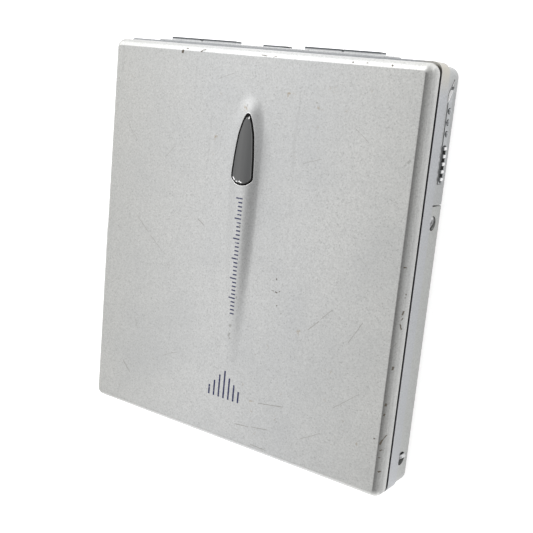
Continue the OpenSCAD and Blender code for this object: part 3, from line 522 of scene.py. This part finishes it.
def lidBorder(shape):  # how far out and down each ring of the border lies
    border, steps = shape["border"], shape["borderSteps"]
    drop = shape["face"] - shape["wallTop"]
    sweep = (border ** 2 + drop ** 2) / (2 * border)
    steep = math.asin(drop / sweep)
    angles = [steep * (1 - i / steps) for i in range(1, steps + 1)]
    curve = [(border - sweep + sweep * math.cos(a), sweep * math.sin(a) - drop) for a in angles]
    foot = shape["wallFoot"] - shape["face"]
    high, inwards = shape["footChamfer"]
    return [shape["groove"]] + curve + [(border, foot + high), (border - inwards, foot)]


def makeLidShell(shape):
    flatX = shape["halfX"] - shape["border"]
    midX = shape["halfX"] - shape["corner"]
    midY = shape["halfY"] - shape["corner"]
    columns, rows = lidColumns(shape, flatX), lidRows(shape, flatX, midX, midY)
    edge = shape["squeezedFrom"]
    points = []
    for y, reach in rows:
        for x in columns:
            if abs(x) > edge:
                x = math.copysign(edge + (abs(x) - edge) * (reach - edge) / (flatX - edge), x)
            points.append((x, y, shape["face"] + spineHeight(x, y)))
    wide, tall = len(columns), len(rows)
    faces = [(r * wide + c, r * wide + c + 1, (r + 1) * wide + c + 1, (r + 1) * wide + c)
             for r in range(tall - 1) for c in range(wide - 1)]
    last = (tall - 1) * wide
    loop = (list(range(wide)) + [r * wide + wide - 1 for r in range(1, tall)]
            + list(range(last + wide - 2, last - 1, -1)) + [r * wide for r in range(tall - 2, 0, -1)])
    outwards = []
    for x, y, _ in (points[index] for index in loop):
        push = Vector((math.copysign(max(0, abs(x) - midX), x), math.copysign(max(0, abs(y) - midY), y)))
        outwards.append(push.normalized())
    previous = loop
    for out, down in lidBorder(shape):
        ring = []
        for index, push in zip(loop, outwards):
            x, y, _ = points[index]
            extra = steppedEdge(y) * min(1, out / shape["stepWithin"]) if push.x < -0.9 else 0
            ring.append(len(points))
            points.append((x + push.x * (out + extra), y + push.y * out, shape["face"] + down))
        faces += [(previous[j], previous[j - 1], ring[j - 1], ring[j]) for j in range(len(loop))]
        previous = ring
    shell = makePiece("lidShell", points, faces, finishes["lidPaint"])
    thicken(shell, shape["sheet"])
    return shell


lidShell = makeLidShell(lidShape)
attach(lidShell, "lid")
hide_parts("lid_panel")
print("lid shell made")

# Window: a smoked lens in a black groove with a bright lip

windowShape = {
    "halfWidths": [(15.25, 0), (15.3, 0.8), (15.5, 1.4), (16.3, 2.55), (16.8, 2.64), (18, 2.58), (20.9, 2.38),
                   (23.35, 2.12), (25.8, 1.78), (28, 1.14), (29.3, 0.6), (29.75, 0.33), (29.95, 0)],
    "lean": 0.028, "step": 0.25, "middle": 22, "lensRise": 0.1, "foot": 12.5, "footLoops": (-0.3, 0.02),
    "lensEdge": [(0.02, -0.1), (0.0, 0.03), (-0.05, 0.075), (-0.14, 0.1)],  # how far out, how high
    "innerLoops": (0.9, 0.76, 0.6, 0.42, 0.22),
    "seal": [(-0.12, -0.5), (-0.12, 0.12), (0.0, 0.14), (0.18, 0.08), (0.3, 0.03), (0.3, -0.5)],
    "lip": [(0.3, -0.5), (0.3, 0.05), (0.348, 0.1), (0.412, 0.08), (0.46, -0.02), (0.46, -0.5)],
}


def neighbours(loop):
    return zip(loop[-1:] + loop[:-1], loop, loop[1:] + loop[:1])


def windowOutline(shape):
    side = []
    stations = shape["halfWidths"]
    for (y1, w1), (y2, w2) in zip(stations, stations[1:]):
        steps = max(2, round(math.hypot(y2 - y1, w2 - w1) / shape["step"]))
        side += [(w1 + (w2 - w1) * i / steps, y1 + (y2 - y1) * i / steps) for i in range(steps)]
    tip = stations[-1][0]
    side.append((0.0, tip))
    loop = side + [(-x, y) for x, y in side[-2:0:-1]]
    loop = [(x - shape["lean"] * (tip - y), y) for x, y in loop]
    for _ in range(2):  # rounds the drawn corners a little
        loop = [((a[0] + 2 * b[0] + c[0]) / 4, (a[1] + 2 * b[1] + c[1]) / 4) for a, b, c in neighbours(loop)]
    return loop


def grown(loop, distance):
    out = []
    for a, b, c in neighbours(loop):
        along = Vector((c[0] - a[0], c[1] - a[1])).normalized()
        out.append((b[0] + along.y * distance, b[1] - along.x * distance))
    return out


def onSpine(loop, lift):
    return [(x, y, lidShape["face"] + spineHeight(x, y) + lift) for x, y in loop]


def makeWindowLens(outline, shape):
    middle = shape["middle"]
    loops = [[(x, y, shape["foot"]) for x, y in grown(outline, d)] for d in shape["footLoops"]]
    loops += [onSpine(grown(outline, d), lift) for d, lift in shape["lensEdge"]]
    last = grown(outline, shape["lensEdge"][-1][0])
    for share in shape["innerLoops"]:
        along = (0.04 * share + 0.96) * (0.3 + 0.7 * share)
        drawnIn = [(x * share, middle + (y - middle) * along) for x, y in last]
        loops.append(onSpine(drawnIn, shape["lensRise"]))
    return makePiece("windowLens", *joinLoops(loops, capped=True), finishes["smokedWindow"])


def makeWindowRing(name, outline, section, finish):
    loops = [onSpine(grown(outline, d), lift) for d, lift in section]
    return makePiece(name, *joinLoops(loops, closed=True), finish)


def makeWindow(shape):
    outline = windowOutline(shape)
    lens = makeWindowLens(outline, shape)
    seal = makeWindowRing("windowSeal", outline, shape["seal"], finishes["rimBlack"])
    lip = makeWindowRing("windowLip", outline, shape["lip"], finishes["brightLip"])
    return lens, seal, lip


windowLens, windowSeal, windowLip = makeWindow(windowShape)
for part in (windowLens, windowSeal, windowLip):
    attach(part, "lid")
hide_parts("window_lens")
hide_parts("window_rim")

# Painted light on the lens: a black tip of painted shade, painted highlights at its lower edge and tip, and
# faint painted reflections, one a line inside the right edge

glintShape = {
    "lift": 0.025, "tipLift": 0.015, "thick": 0.06, "tipFrom": 28.8,
    "bright": [
        [(0.18, 28.95), (0.45, 29.0), (0.47, 29.35), (0.28, 29.5)],
        [(-2.78, 16.5), (-2.5, 16.55), (-2.0, 15.98), (-2.12, 15.72)],
        [(-1.75, 15.6), (-0.1, 15.52), (0.05, 15.7), (-0.45, 15.76), (-0.62, 16.0), (-0.85, 15.8),
         (-1.7, 15.8)]],
    "faint": [
        [(-0.38, 28.95), (-0.1, 28.95), (-0.05, 29.2), (-0.25, 29.25)],
        [(0.1, 15.58), (1.75, 15.95), (1.72, 16.07), (0.1, 15.7)]],
    "line": (16.6, 28.4, -0.19, -0.27),
}


def makePaintedGlints(name, outlines, finish, lift):
    lift += windowShape["lensRise"]
    solids = [[onSpine(outline, lift - glintShape["thick"]), onSpine(outline, lift)] for outline in outlines]
    piece = makePiece(name, *joinSolids(solids), finish, False)
    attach(piece, "lid")


def makeGlints(shape):
    outline = windowOutline(windowShape)
    tip = [p for p in grown(outline, -0.1) if p[1] > shape["tipFrom"]]
    y1, y2, near, far = shape["line"]
    outer, inner = grown(outline, near), grown(outline, far)
    right = [i for i, p in enumerate(outer) if p[0] > 0 and y1 < p[1] < y2]
    strip = [outer[i] for i in right] + [inner[i] for i in reversed(right)]
    makePaintedGlints("windowTip", [tip], finishes["rimBlack"], shape["tipLift"])
    makePaintedGlints("windowFlecks", shape["bright"], finishes["slotWhite"], shape["lift"])
    makePaintedGlints("windowLine", [strip] + shape["faint"], finishes["lineGrey"], shape["lift"])


makeGlints(glintShape)
print("window made")

# Geometry Nodes helpers: a tree with named inputs, run once and kept as a plain mesh


def startTree(name, inputs):
    tree = bpy.data.node_groups.new(name, "GeometryNodeTree")
    addSocket = tree.interface.new_socket
    addSocket(name="points", in_out="INPUT", socket_type="NodeSocketGeometry")
    addSocket(name="result", in_out="OUTPUT", socket_type="NodeSocketGeometry")
    kinds = {float: "Float", int: "Int", bpy.types.Material: "Material", bpy.types.Object: "Object"}
    for key, value in inputs.items():
        addSocket(name=key, in_out="INPUT", socket_type="NodeSocket" + kinds[type(value)])
    return tree, tree.nodes.new("NodeGroupInput").outputs, tree.nodes.new("NodeGroupOutput").inputs


def spreadOut(tree, given, shape):
    kind = {"data_type": "FLOAT_VECTOR"}
    turn, size = (treeNode(tree, "GeometryNodeInputNamedAttribute", kind, {"Name": key}).outputs["Attribute"]
                  for key in ("turn", "size"))
    spread = treeNode(tree, "GeometryNodeInstanceOnPoints", inputs={
        "Points": given["points"], "Instance": shape, "Rotation": turn, "Scale": size})
    return treeNode(tree, "GeometryNodeRealizeInstances", inputs={0: spread.outputs["Instances"]}).outputs[0]


def endTree(tree, given, result, geometry):
    dressed = treeNode(tree, "GeometryNodeSetMaterial", inputs={
        "Geometry": geometry, "Material": given["finish"]})
    tree.links.new(dressed.outputs[0], result["result"])
    return tree


def runTree(name, tree, values, points, turns, sizes):
    cloud = bpy.data.meshes.new(name)
    cloud.from_pydata([Vector(p) * mm for p in points], [], [])
    for key, column in (("turn", turns), ("size", sizes)):
        layer = cloud.attributes.new(key, "FLOAT_VECTOR", "POINT")
        layer.data.foreach_set("vector", [n for v in column for n in v])
    carrier = bpy.data.objects.new(name, cloud)
    bpy.context.scene.collection.objects.link(carrier)
    modifier = carrier.modifiers.new(name, "NODES")
    modifier.node_group = tree
    for item in tree.interface.items_tree:
        if item.in_out == "INPUT" and item.name in values:
            modifier[item.identifier] = values[item.name]
    bpy.context.view_layer.update()
    evaluated = carrier.evaluated_get(bpy.context.evaluated_depsgraph_get())
    mesh = bpy.data.meshes.new_from_object(evaluated)
    carrier.modifiers.clear()
    carrier.data = mesh
    mesh.name = name
    return carrier


# Marks that lie on the lid: small patches at listed places, laid down on the shell

markShape = {"lift": 0.012, "film": 0.03, "across": 7, "along": 9, "above": 2, "castFrom": (0, 0, 0.02),
             "castLength": 0.05, "frayScale": 2300.0, "seed": 3, "strokeWider": 1.2}


def buildMarkTree(name, values):
    tree, given, result = startTree(name, values)
    patch = treeNode(tree, "GeometryNodeMeshGrid", inputs={
        "Size X": 1.0, "Size Y": 1.0, "Vertices X": markShape["along"], "Vertices Y": markShape["across"]})
    real = spreadOut(tree, given, patch.outputs["Mesh"])
    position = treeNode(tree, "GeometryNodeInputPosition").outputs[0]

    def vectorMath(operation, inputs):
        return treeNode(tree, "ShaderNodeVectorMath", {"operation": operation}, inputs).outputs[0]

    def moved(geometry, how, vector):
        node = treeNode(tree, "GeometryNodeSetPosition", inputs={"Geometry": geometry, how: vector})
        return node.outputs[0]

    shift = treeNode(tree, "ShaderNodeTexNoise", {"noise_dimensions": "4D"}, {
        "Vector": position, "Scale": markShape["frayScale"], "Detail": 1.0, "W": given["seed"]})
    centred = vectorMath("SUBTRACT", {0: shift.outputs["Color"], 1: (0.5, 0.5, 0.5)})
    frayed = moved(real, "Offset", vectorMath("SCALE", {0: centred, "Scale": given["ragged"]}))
    relative = {"transform_space": "RELATIVE"}
    shell = treeNode(tree, "GeometryNodeObjectInfo", relative, {"Object": given["target"]})
    above = vectorMath("ADD", {0: position, 1: markShape["castFrom"]})
    fall = treeNode(tree, "GeometryNodeRaycast", inputs={
        "Target Geometry": shell.outputs["Geometry"], "Source Position": above, "Ray Direction": (0, 0, -1),
        "Ray Length": markShape["castLength"]})
    lift = vectorMath("SCALE", {0: fall.outputs["Hit Normal"], "Scale": given["lift"]})
    laid = moved(frayed, "Position", vectorMath("ADD", {0: fall.outputs["Hit Position"], 1: lift}))
    return endTree(tree, given, result, laid)


def layMarks(name, marks, finish, ragged):
    values = {"target": lidShell, "finish": finish, "ragged": ragged * mm, "lift": markShape["lift"] * mm,
              "seed": markShape["seed"]}
    points = [(mark[0], mark[1], lidShape["face"] + markShape["above"]) for mark in marks]
    sizes = [(mark[2] * mm, mark[3] * mm, 1) for mark in marks]
    turns = [(0, 0, math.radians(mark[4])) for mark in marks]
    piece = runTree(name, buildMarkTree(name + "Tree", values), values, points, turns, sizes)
    thicken(piece, markShape["film"])
    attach(piece, "lid")


def strokeMarks(strokes):
    return [((x1 + x2) / 2, (y1 + y2) / 2, math.hypot(x2 - x1, y2 - y1), width * markShape["strokeWider"],
             math.degrees(math.atan2(y2 - y1, x2 - x1))) for x1, y1, x2, y2, width in strokes]


wornMarks = {
    "chips": [  # x, y, length, width, turn
        (39.7, -4.1, 0.9, 0.16, 80), (39.7, -5.3, 0.45, 0.14, 60), (39.65, -6.9, 1.1, 0.16, 100),
        (39.3, -15.4, 0.7, 0.3, 85), (39.75, -0.4, 0.3, 0.1, 90), (39.75, -1.1, 0.25, 0.1, 90),
        (10.6, -3.3, 0.45, 0.2, 100), (9.9, -5.9, 0.5, 0.15, 10), (10.8, -6.1, 0.6, 0.22, -10),
        (11.6, -5.8, 0.4, 0.15, 20), (11.3, -8.9, 0.25, 0.2, 60), (38.95, -23.0, 0.55, 0.35, 90),
        (38.9, -25.1, 0.5, 0.3, 70), (37.5, -30.5, 0.4, 0.3, 20), (38.95, -30.9, 1.1, 0.3, 70),
        (39.4, -29.9, 1.3, 0.16, 65), (39.1, -32.6, 0.5, 0.22, 40), (39.0, -34.2, 0.35, 0.2, 0),
        (39.3, -37.2, 0.45, 0.3, 30), (39.2, 4.9, 0.4, 0.25, 0), (-19.4, 41.5, 0.75, 0.55, 70),
        (-14.2, 41.9, 0.5, 0.3, 30), (-13.6, 42.2, 0.7, 0.2, 10), (-18.2, 42.2, 0.5, 0.18, 10),
        (2.2, 42.1, 1.6, 0.12, -4), (4.9, 42.0, 0.8, 0.14, 12), (23.0, 42.2, 0.4, 0.3, 0),
        (26.1, 42.3, 0.35, 0.25, 0), (31.5, 42.2, 0.3, 0.3, 0)],
    "specks": [
        (10.7, -3.4, 0.3, 0.22, 20), (12.5, -10.4, 0.35, 0.22, 60), (16.0, 33.8, 0.35, 0.3, 0),
        (37.4, 24.9, 0.85, 0.4, 50), (36.7, 24.2, 0.5, 0.2, 40), (23.8, 10.6, 0.3, 0.25, 0),
        (18.7, 4.3, 0.45, 0.16, 40), (-0.2, -16.0, 0.7, 0.45, 60), (-0.35, -18.1, 1.0, 0.4, 70),
        (-0.1, -18.9, 0.5, 0.3, 20), (-0.75, 31.6, 0.9, 0.16, 70), (-29.5, -21.2, 0.3, 0.2, 0),
        (-33.0, -18.5, 0.35, 0.2, 30), (-22.2, -13.5, 0.25, 0.2, 0), (-17.3, -7.7, 0.35, 0.2, 45),
        (-26.9, 7.4, 0.3, 0.2, 0), (34.7, 17.3, 0.9, 0.1, -20), (36.0, 16.9, 0.7, 0.09, -14),
        (0.35, 6.3, 0.6, 0.4, 80), (0.9, -9.4, 0.6, 0.3, 60)],
    "scrapes": [  # from, to, width
        (19.5, -12.2, 21.9, -9.8, 0.13), (22.2, -9.3, 24.8, -6.7, 0.1), (29.1, -12.6, 31.9, -7.8, 0.09),
        (9.0, -31.4, 15.4, -30.4, 0.11), (3.4, -37.9, 7.0, -37.5, 0.13), (7.6, -37.3, 12.0, -36.7, 0.1),
        (7.9, -41.3, 12.0, -41.4, 0.12), (-29.7, 3.7, -25.9, 0.4, 0.08), (-25.2, -0.2, -21.3, -3.3, 0.07),
        (-11.6, 5.8, -9.8, 4.7, 0.12), (-31.2, -32.1, -28.7, -34.5, 0.14), (-28.4, -20.4, -27.2, -23.1, 0.08),
        (-34.1, 24.2, -31.0, 20.9, 0.06), (14.2, 21.5, 18.5, 23.0, 0.06), (-18.5, -27.5, -14.9, -25.9, 0.07),
        (27.4, -27.0, 33.0, -22.4, 0.07), (-9.1, 36.5, -5.0, 38.0, 0.06), (25.2, 29.9, 28.6, 27.4, 0.06),
        (-22.4, 18.0, -19.7, 20.9, 0.05), (20.5, -36.0, 25.0, -33.4, 0.08), (38.4, -10.5, 38.75, -11.3, 0.1),
        (39.4, -10.2, 38.95, -11.0, 0.09)],
}
layMarks("lidChips", wornMarks["chips"], finishes["scuff"], 0.3)
layMarks("lidSpecks", wornMarks["specks"], finishes["faintScuff"], 0.3)
layMarks("lidScrapes", strokeMarks(wornMarks["scrapes"]), finishes["scrape"], 0.22)
print("worn marks laid:", sum(len(v) for v in wornMarks.values()))

# Print on the lid: a plain scale of ticks down the spine and a level meter below it

printShape = {
    "firstTick": 12.2, "lastTick": -13.2, "ticks": 30, "longEvery": 5, "tickWidth": 0.3, "longTick": 1.75,
    "shortTick": 1.05, "tickCentre": -0.35, "meterStep": 1.35, "meterLeft": -4.6, "meterFoot": -33.0,
    "meterBar": 0.42, "meterHeights": [2.2, 3.6, 5.2, 6.4, 5.0, 3.8, 2.6],
}


def printMarks(shape):
    marks = []
    long = shape["longTick"]
    for i in range(shape["ticks"]):
        y = shape["firstTick"] + (shape["lastTick"] - shape["firstTick"]) * i / (shape["ticks"] - 1)
        length = shape["shortTick"] if i % shape["longEvery"] else long
        marks.append((shape["tickCentre"] + (long - length) / 2, y, length, shape["tickWidth"], 0))
    for i, height in enumerate(shape["meterHeights"]):
        x = shape["meterLeft"] + shape["meterStep"] * i
        marks.append((x, shape["meterFoot"] + height / 2, shape["meterBar"], height, 0))
    return marks


layMarks("lidPrint", printMarks(printShape), finishes["navyInk"], 0.05)
print("print laid")

# Cross-head screws: one head in mesh code, set out by a tree

screwShape = {
    "dome": 0.16, "cross": 0.2, "reach": 0.62, "depth": 0.42, "steep": 1.6, "rim": 0.05, "foot": -0.5,
    "rings": 26, "spokes": 72,
    "sideScrews": [(12.85, 4.1), (-36.9, 4.0)], "sideTurns": (0.2, 1.1), "sideFace": 39.35,
    "backScrews": [(19.5, -37.8), (35.2, -12.0), (34.4, 12.3), (-34.5, 12.3)],
    "backTurns": (0.35, 1.05, 1.75, 2.45), "backFace": 0.2, "sideRadius": 1.33, "backRadius": 1.28,
}


def makeHead(name, points, faces, finish):  # about one unit wide, as a row's sizes scale it
    head = makePiece(name, points, faces, finish)
    for vertex in head.data.vertices:
        vertex.co /= mm
    return head


def makeScrewHead(shape):
    rings, spokes = shape["rings"], shape["spokes"]
    loops = []
    for r in range(1, rings + 1):
        radius = r / rings
        height = shape["dome"] * (1 - radius ** 2) - (shape["rim"] if r == rings else 0)
        within = max(0.0, 1 - (radius / shape["reach"]) ** 5)
        loop = []
        for c, s in circle(spokes):
            arm = min(abs(radius * c), abs(radius * s)) / shape["cross"]
            sunk = min(1, max(0.0, 1 - arm ** 4) * within * shape["steep"])
            loop.append((radius * c, radius * s, height - shape["depth"] * sunk))
        loops.append(loop)
    loops.append([(x, y, shape["foot"]) for x, y, _ in loops[-1]])
    points, faces = joinLoops(loops)
    faces.append(tuple(range(len(points) - spokes, len(points)))[::-1])
    faces += [(len(points), k, (k + 1) % spokes) for k in range(spokes)]
    points.append((0, 0, shape["dome"] - shape["depth"]))
    return makeHead("screwHead", points, faces, finishes["screwSteel"])


def setOut(name, head, places, turns, size, body):
    values = {"head": head, "finish": head.data.materials[0]}
    tree, given, result = startTree(name + "Tree", values)
    shape = treeNode(tree, "GeometryNodeObjectInfo", inputs={"Object": given["head"]})
    endTree(tree, given, result, spreadOut(tree, given, shape.outputs["Geometry"]))
    row = runTree(name, tree, values, places, turns, [[v * mm for v in size]] * len(places))
    row.data.polygons.foreach_set("use_smooth", [True] * len(row.data.polygons))
    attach(row, body)
    return row


def makeScrews(shape):
    head = makeScrewHead(shape)
    places = [(shape["sideFace"], y, z) for y, z in shape["sideScrews"]]
    turns = [(turn, math.pi / 2, 0) for turn in shape["sideTurns"]]
    side = setOut("sideScrewHeads", head, places, turns, (shape["sideRadius"],) * 3, "case")
    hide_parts("side_screws")
    places = [(x, y, shape["backFace"]) for x, y in shape["backScrews"]]
    turns = [(math.pi, 0, turn) for turn in shape["backTurns"]]
    back = setOut("backScrewHeads", head, places, turns, (shape["backRadius"],) * 3, "case")
    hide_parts("back_screws")
    bpy.data.objects.remove(head)


makeScrews(screwShape)
print("screws set")

# Open slider: bright ribs over a dark pad of painted shade, a ring of painted shade round each bump, and a
# glowing cap on its slanted end as a painted highlight

gripShape = {
    "face": 39.85, "middle": 3.4, "ribStart": 21.6, "ribStep": 1.5, "ribs": 5, "ribSize": (0.68, 0.34, 0.4),
    "ribLoops": ((1.0, -0.3), (1.0, 0.45), (0.9, 0.75), (0.62, 0.95), (0.2, 1.0)),
    "bumps": (34.8, 32.6, 30.4), "ringSize": (0.62, 0.62, 0.62),
    "ringLoops": ((0.55, -0.1), (0.55, 0.05), (0.75, 0.1), (1.0, 0.03), (1.0, -0.1)),
    "pad": (20.95, 28.2, 2.66, 4.16), "padLoops": ((0, -0.05), (0, 0.03), (0.08, 0.05)), "padCorner": 0.3,
    "cap": ((38.75, 2.83), (36.42, 4.23), 39.0, 39.82), "capLoops": ((0, 0.0), (0.04, 0.0), (0.05, 0.03)),
    "liner": (39.45, 40.7, 2.36, 2.42, 3.4, 38.72, 38.8, 39.68), "lineHalf": 0.08, "lineThick": 0.05,
    "slotLines": [((40.87, 2.53), (38.08, 4.53), 39.76), ((38.08, 4.55), (36.6, 4.55), 39.76)],
}


def makeGripRows(shape):
    loops = [[(reach * c * (1 if abs(c) > 0.4 else 0.9), reach * math.copysign(abs(s) ** 0.5, s), height)
              for c, s in circle(24)] for reach, height in shape["ribLoops"]]
    ribHead = makeHead("ribHead", *joinLoops(loops, capped=True), finishes["brightLip"])
    loops = [[(reach * c, reach * s, height) for c, s in circle(32)] for reach, height in shape["ringLoops"]]
    ringHead = makeHead("ringHead", *joinLoops(loops, closed=True), finishes["rimBlack"])
    ribs = [shape["ribStart"] + shape["ribStep"] * i for i in range(shape["ribs"])]
    for name, head, stations, size in (("gripRibs", ribHead, ribs, shape["ribSize"]),
                                       ("bumpRings", ringHead, shape["bumps"], shape["ringSize"])):
        places = [(shape["face"], y, shape["middle"]) for y in stations]
        setOut(name, head, places, [(0, math.pi / 2, 0)] * len(places), size, "opener")
        bpy.data.objects.remove(head)


def makeShadePad(shape):
    y1, y2, z1, z2 = shape["pad"]
    cut = shape["padCorner"]
    loops = []
    for inset, rise in shape["padLoops"]:
        a, b, c, d = y1 + inset, y2 - inset, z1 + inset, z2 - inset
        corners = ((a, c + cut), (a + cut, c), (b - cut, c), (b, c + cut),
                   (b, d - cut), (b - cut, d), (a + cut, d), (a, d - cut))
        loops.append([(shape["face"] + rise, y, z) for y, z in corners])
    pad = makePiece("gripPad", *joinLoops(loops, capped=True), finishes["rimBlack"], False)
    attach(pad, "opener")


def makeHighlightCap(shape):
    (y1, z1), (y2, z2), x1, x2 = shape["cap"]
    away = Vector((0, z2 - z1, y1 - y2)).normalized()
    loops = []
    for rise, inset in shape["capLoops"]:
        a, b = x1 + inset, x2 - inset
        corners = ((a, y1, z1), (b, y1, z1), (b, (y1 + y2) / 2, (z1 + z2) / 2), (b, y2, z2), (a, y2, z2))
        loops.append([Vector(corner) + away * rise for corner in corners])
    cap = makePiece("sliderCap", *joinLoops(loops, capped=True), finishes["slotWhite"], False)
    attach(cap, "opener")


# the slot: a glowing white liner as a painted highlight, and thin black lines of painted shade along its
# edges
def makeSlot(shape):
    y1, y2, z1, z2, z3, x1, x2, x3 = shape["liner"]
    section = ((x3, z1), (x3, z2), (x2, z2), (x2, z3), (x1, z3), (x1, z1))
    loops = [[(x, y, z) for x, z in section] for y in (y1, y2)]
    liner = makePiece("slotLiner", *joinLoops(loops, capped=True), finishes["slotWhite"], False)
    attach(liner, "case")
    solids = []
    for (ya, za), (yb, zb), x in shape["slotLines"]:
        side = Vector((0, za - zb, yb - ya)).normalized() * shape["lineHalf"]
        start, end = Vector((x, ya, za)), Vector((x, yb, zb))
        line = [start - side, start + side, end + side, end - side]
        solids.append([line, [corner - Vector((shape["lineThick"], 0, 0)) for corner in line]])
    edges = makePiece("slotLines", *joinSolids(solids), finishes["rimBlack"], False)
    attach(edges, "case")


makeGripRows(gripShape)
makeShadePad(gripShape)
makeHighlightCap(gripShape)
makeSlot(gripShape)
print("slider grip made")

# Small turned pieces inside: the hub magnet, its cone and the lens collar

turnedPieces = {  # centre, finish, body, then reach and height round the section
    "hubMagnet": ((1.2, -3.3), "turnedSteel", "table", [
        (2.35, 7.1), (2.35, 7.42), (2.45, 7.5), (3.95, 7.5), (4.05, 7.42), (4.05, 7.2), (3.9, 7.1)]),
    "hubCone": ((1.2, -3.3), "turnedSteel", "table", [
        (0.5, 7.3), (0.5, 7.63), (0.85, 7.72), (1.3, 7.72), (1.75, 7.66), (1.9, 7.55), (1.9, 7.3)]),
    "lensCollar": ((1.2, -17.8), "blackPlastic", "sled", [
        (2.05, 5.3), (2.05, 5.76), (2.15, 5.84), (2.4, 5.84), (2.55, 5.76), (2.55, 5.6), (2.45, 5.5)]),
}
for name, (centre, finish, body, section) in turnedPieces.items():
    loops = [[(centre[0] + r * c, centre[1] + r * s, z) for r, z in section] for c, s in circle(64)]
    ring = makePiece(name, *joinLoops(loops, closed=True), finishes[finish])
    ring.modifiers.new("crispEdges", "EDGE_SPLIT").split_angle = math.radians(35)
    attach(ring, body)

# The deck's screws, and its pressed ribs with round ends

deckShape = {
    "top": 5.95, "screwRise": 0.02, "screwRadius": 0.95, "screwTurns": (0.3, 1.1, 1.9, 2.7, 3.5),
    "screws": [(-12.9, -40.2), (15.3, -40.2), (-12.9, -11.2), (15.3, -11.2), (-17.0, -2.0)],
    "ribs": [(24.5, -34.0, 24.5, -3.0), (30.5, -28.0, 30.5, -9.0), (-24.0, -36.0, -24.0, 3.0),
             (-30.5, -30.0, -30.5, -2.0), (-20.0, 11.0, 22.0, 11.0)],
    "ribSlope": [(1.3, -0.05), (1.05, 0.04), (0.75, 0.16), (0.45, 0.2)],
}


def makeDeckDetails(shape):
    head = makeScrewHead(screwShape)
    places = [(x, y, shape["top"] + shape["screwRise"]) for x, y in shape["screws"]]
    turns = [(0, 0, turn) for turn in shape["screwTurns"]]
    setOut("deckScrews", head, places, turns, (shape["screwRadius"],) * 3, "case")
    bpy.data.objects.remove(head)
    solids = []
    for x1, y1, x2, y2 in shape["ribs"]:
        along = math.atan2(y2 - y1, x2 - x1)
        ends = ((x2, y2, along - math.pi / 2), (x1, y1, along + math.pi / 2))
        path = [(x, y, turn + math.pi * k / 12) for x, y, turn in ends for k in range(13)]
        solids.append([[(x + reach * math.cos(a), y + reach * math.sin(a), shape["top"] + rise)
                        for x, y, a in path] for reach, rise in shape["ribSlope"]])
    ribs = makePiece("deckRibs", *joinSolids(solids), finishes["deckSteel"])
    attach(ribs, "case")


makeDeckDetails(deckShape)
print("turned pieces and deck details made")

# Latch spring: a coil of round wire for the open slider

springShape = {
    "centre": (37.15, 6.375), "from": 26.75, "to": 32.15, "margin": 0.2, "coil": 0.75, "wire": 0.15,
    "turns": 7, "steps": 22, "sides": 9, "closerEnds": 0.05, "travel": 1.2,
}


def makeLatchSpring(shape):
    count = shape["turns"] * shape["steps"]
    length = shape["to"] - shape["from"]
    middleX, middleZ = shape["centre"]
    loops = []
    for i in range(count + 1):
        share = i / count
        eased = share - shape["closerEnds"] * math.sin(2 * math.pi * share)
        angle = 2 * math.pi * shape["turns"] * share
        y = shape["from"] + shape["margin"] + (length - 2 * shape["margin"]) * eased
        wire = [(shape["coil"] + shape["wire"] * c, y + shape["wire"] * s) for c, s in circle(shape["sides"])]
        loops.append([(middleX + r * math.cos(angle), y, middleZ + r * math.sin(angle)) for r, y in wire])
    spring = makePiece("latchSpring", *joinLoops(loops, capped=True), finishes["turnedSteel"])
    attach(spring, "case")
    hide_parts("open_spring")
    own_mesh(spring)


makeLatchSpring(springShape)
print("latch spring made")

# Which finish each kept node takes

nodeFinishes = {
    "framePaint": ["mid_frame"],
    "rearPaint": ["rear_cover"],
    "shellPlastic": ["control_shell", "battery_door"],
    "trimPaint": ["key_trim"],
    "holdPaint": ["hold_slider"],
    "sliderPaint": ["open_slider"],
    "keyPaint": ["key_volume_down", "key_volume_up", "key_play", "key_stop"],
    "blackPlastic": ["lid_liner", "headphone_socket", "turntable"],
    "chipEpoxy": ["board_chips", "key_switches"],
    "damperRubber": ["dampers"],
    "sheetSteel": ["disc_holder", "cartridge_springs", "latch_plate"],
    "deckSteel": ["deck"],
    "turnedSteel": ["hinge_pins", "guide_rods", "lead_screw", "door_pin", "open_spring", "side_screws",
                    "back_screws", "lid_screws"],
    "motorCan": ["spindle_motor", "sled_motor"],
    "sledMetal": ["optical_pickup"],
    "goldPlate": ["battery_contacts", "charge_contacts"],
    "batteryWrap": ["battery"],
    "boardGreen": ["main_board", "key_board"],
    "lensGlass": ["objective_lens"],
    "smokedWindow": ["window_lens"],
    "rimBlack": ["window_rim"],
    "lidPaint": ["lid_panel"],
}
for finish, members in nodeFinishes.items():
    for member in members:
        nodes[member].data.materials.clear()
        nodes[member].data.materials.append(finishes[finish])
print("node finishes set")

# Softer edges on the kept pieces: width, segments, pieces

softEdges = [
    (0.4, 3, ["key_volume_down", "key_volume_up", "key_play", "key_stop"]),
    (0.3, 3, ["battery"]),
    (0.15, 2, ["hold_slider", "spindle_motor", "sled_motor"]),
    (0.12, 2, ["key_trim", "optical_pickup", "turntable"]),
    (0.1, 2, ["battery_door"]),
    (0.1, 1, ["dampers"]),
    (0.08, 1, ["board_chips", "disc_holder", "latch_plate"]),
    (0.06, 2, ["open_slider"]),
    (0.06, 1, ["charge_contacts"]),
    (0.04, 1, ["battery_contacts"]),
]
for width, segments, members in softEdges:
    for member in members:
        nodes[member].modifiers.new("weld", "WELD").merge_threshold = 1e-6
        bevel = nodes[member].modifiers.new("softEdges", "BEVEL")
        bevel.width = width * mm
        bevel.segments = segments
        bevel.angle_limit = math.radians(40)
print("edges softened")
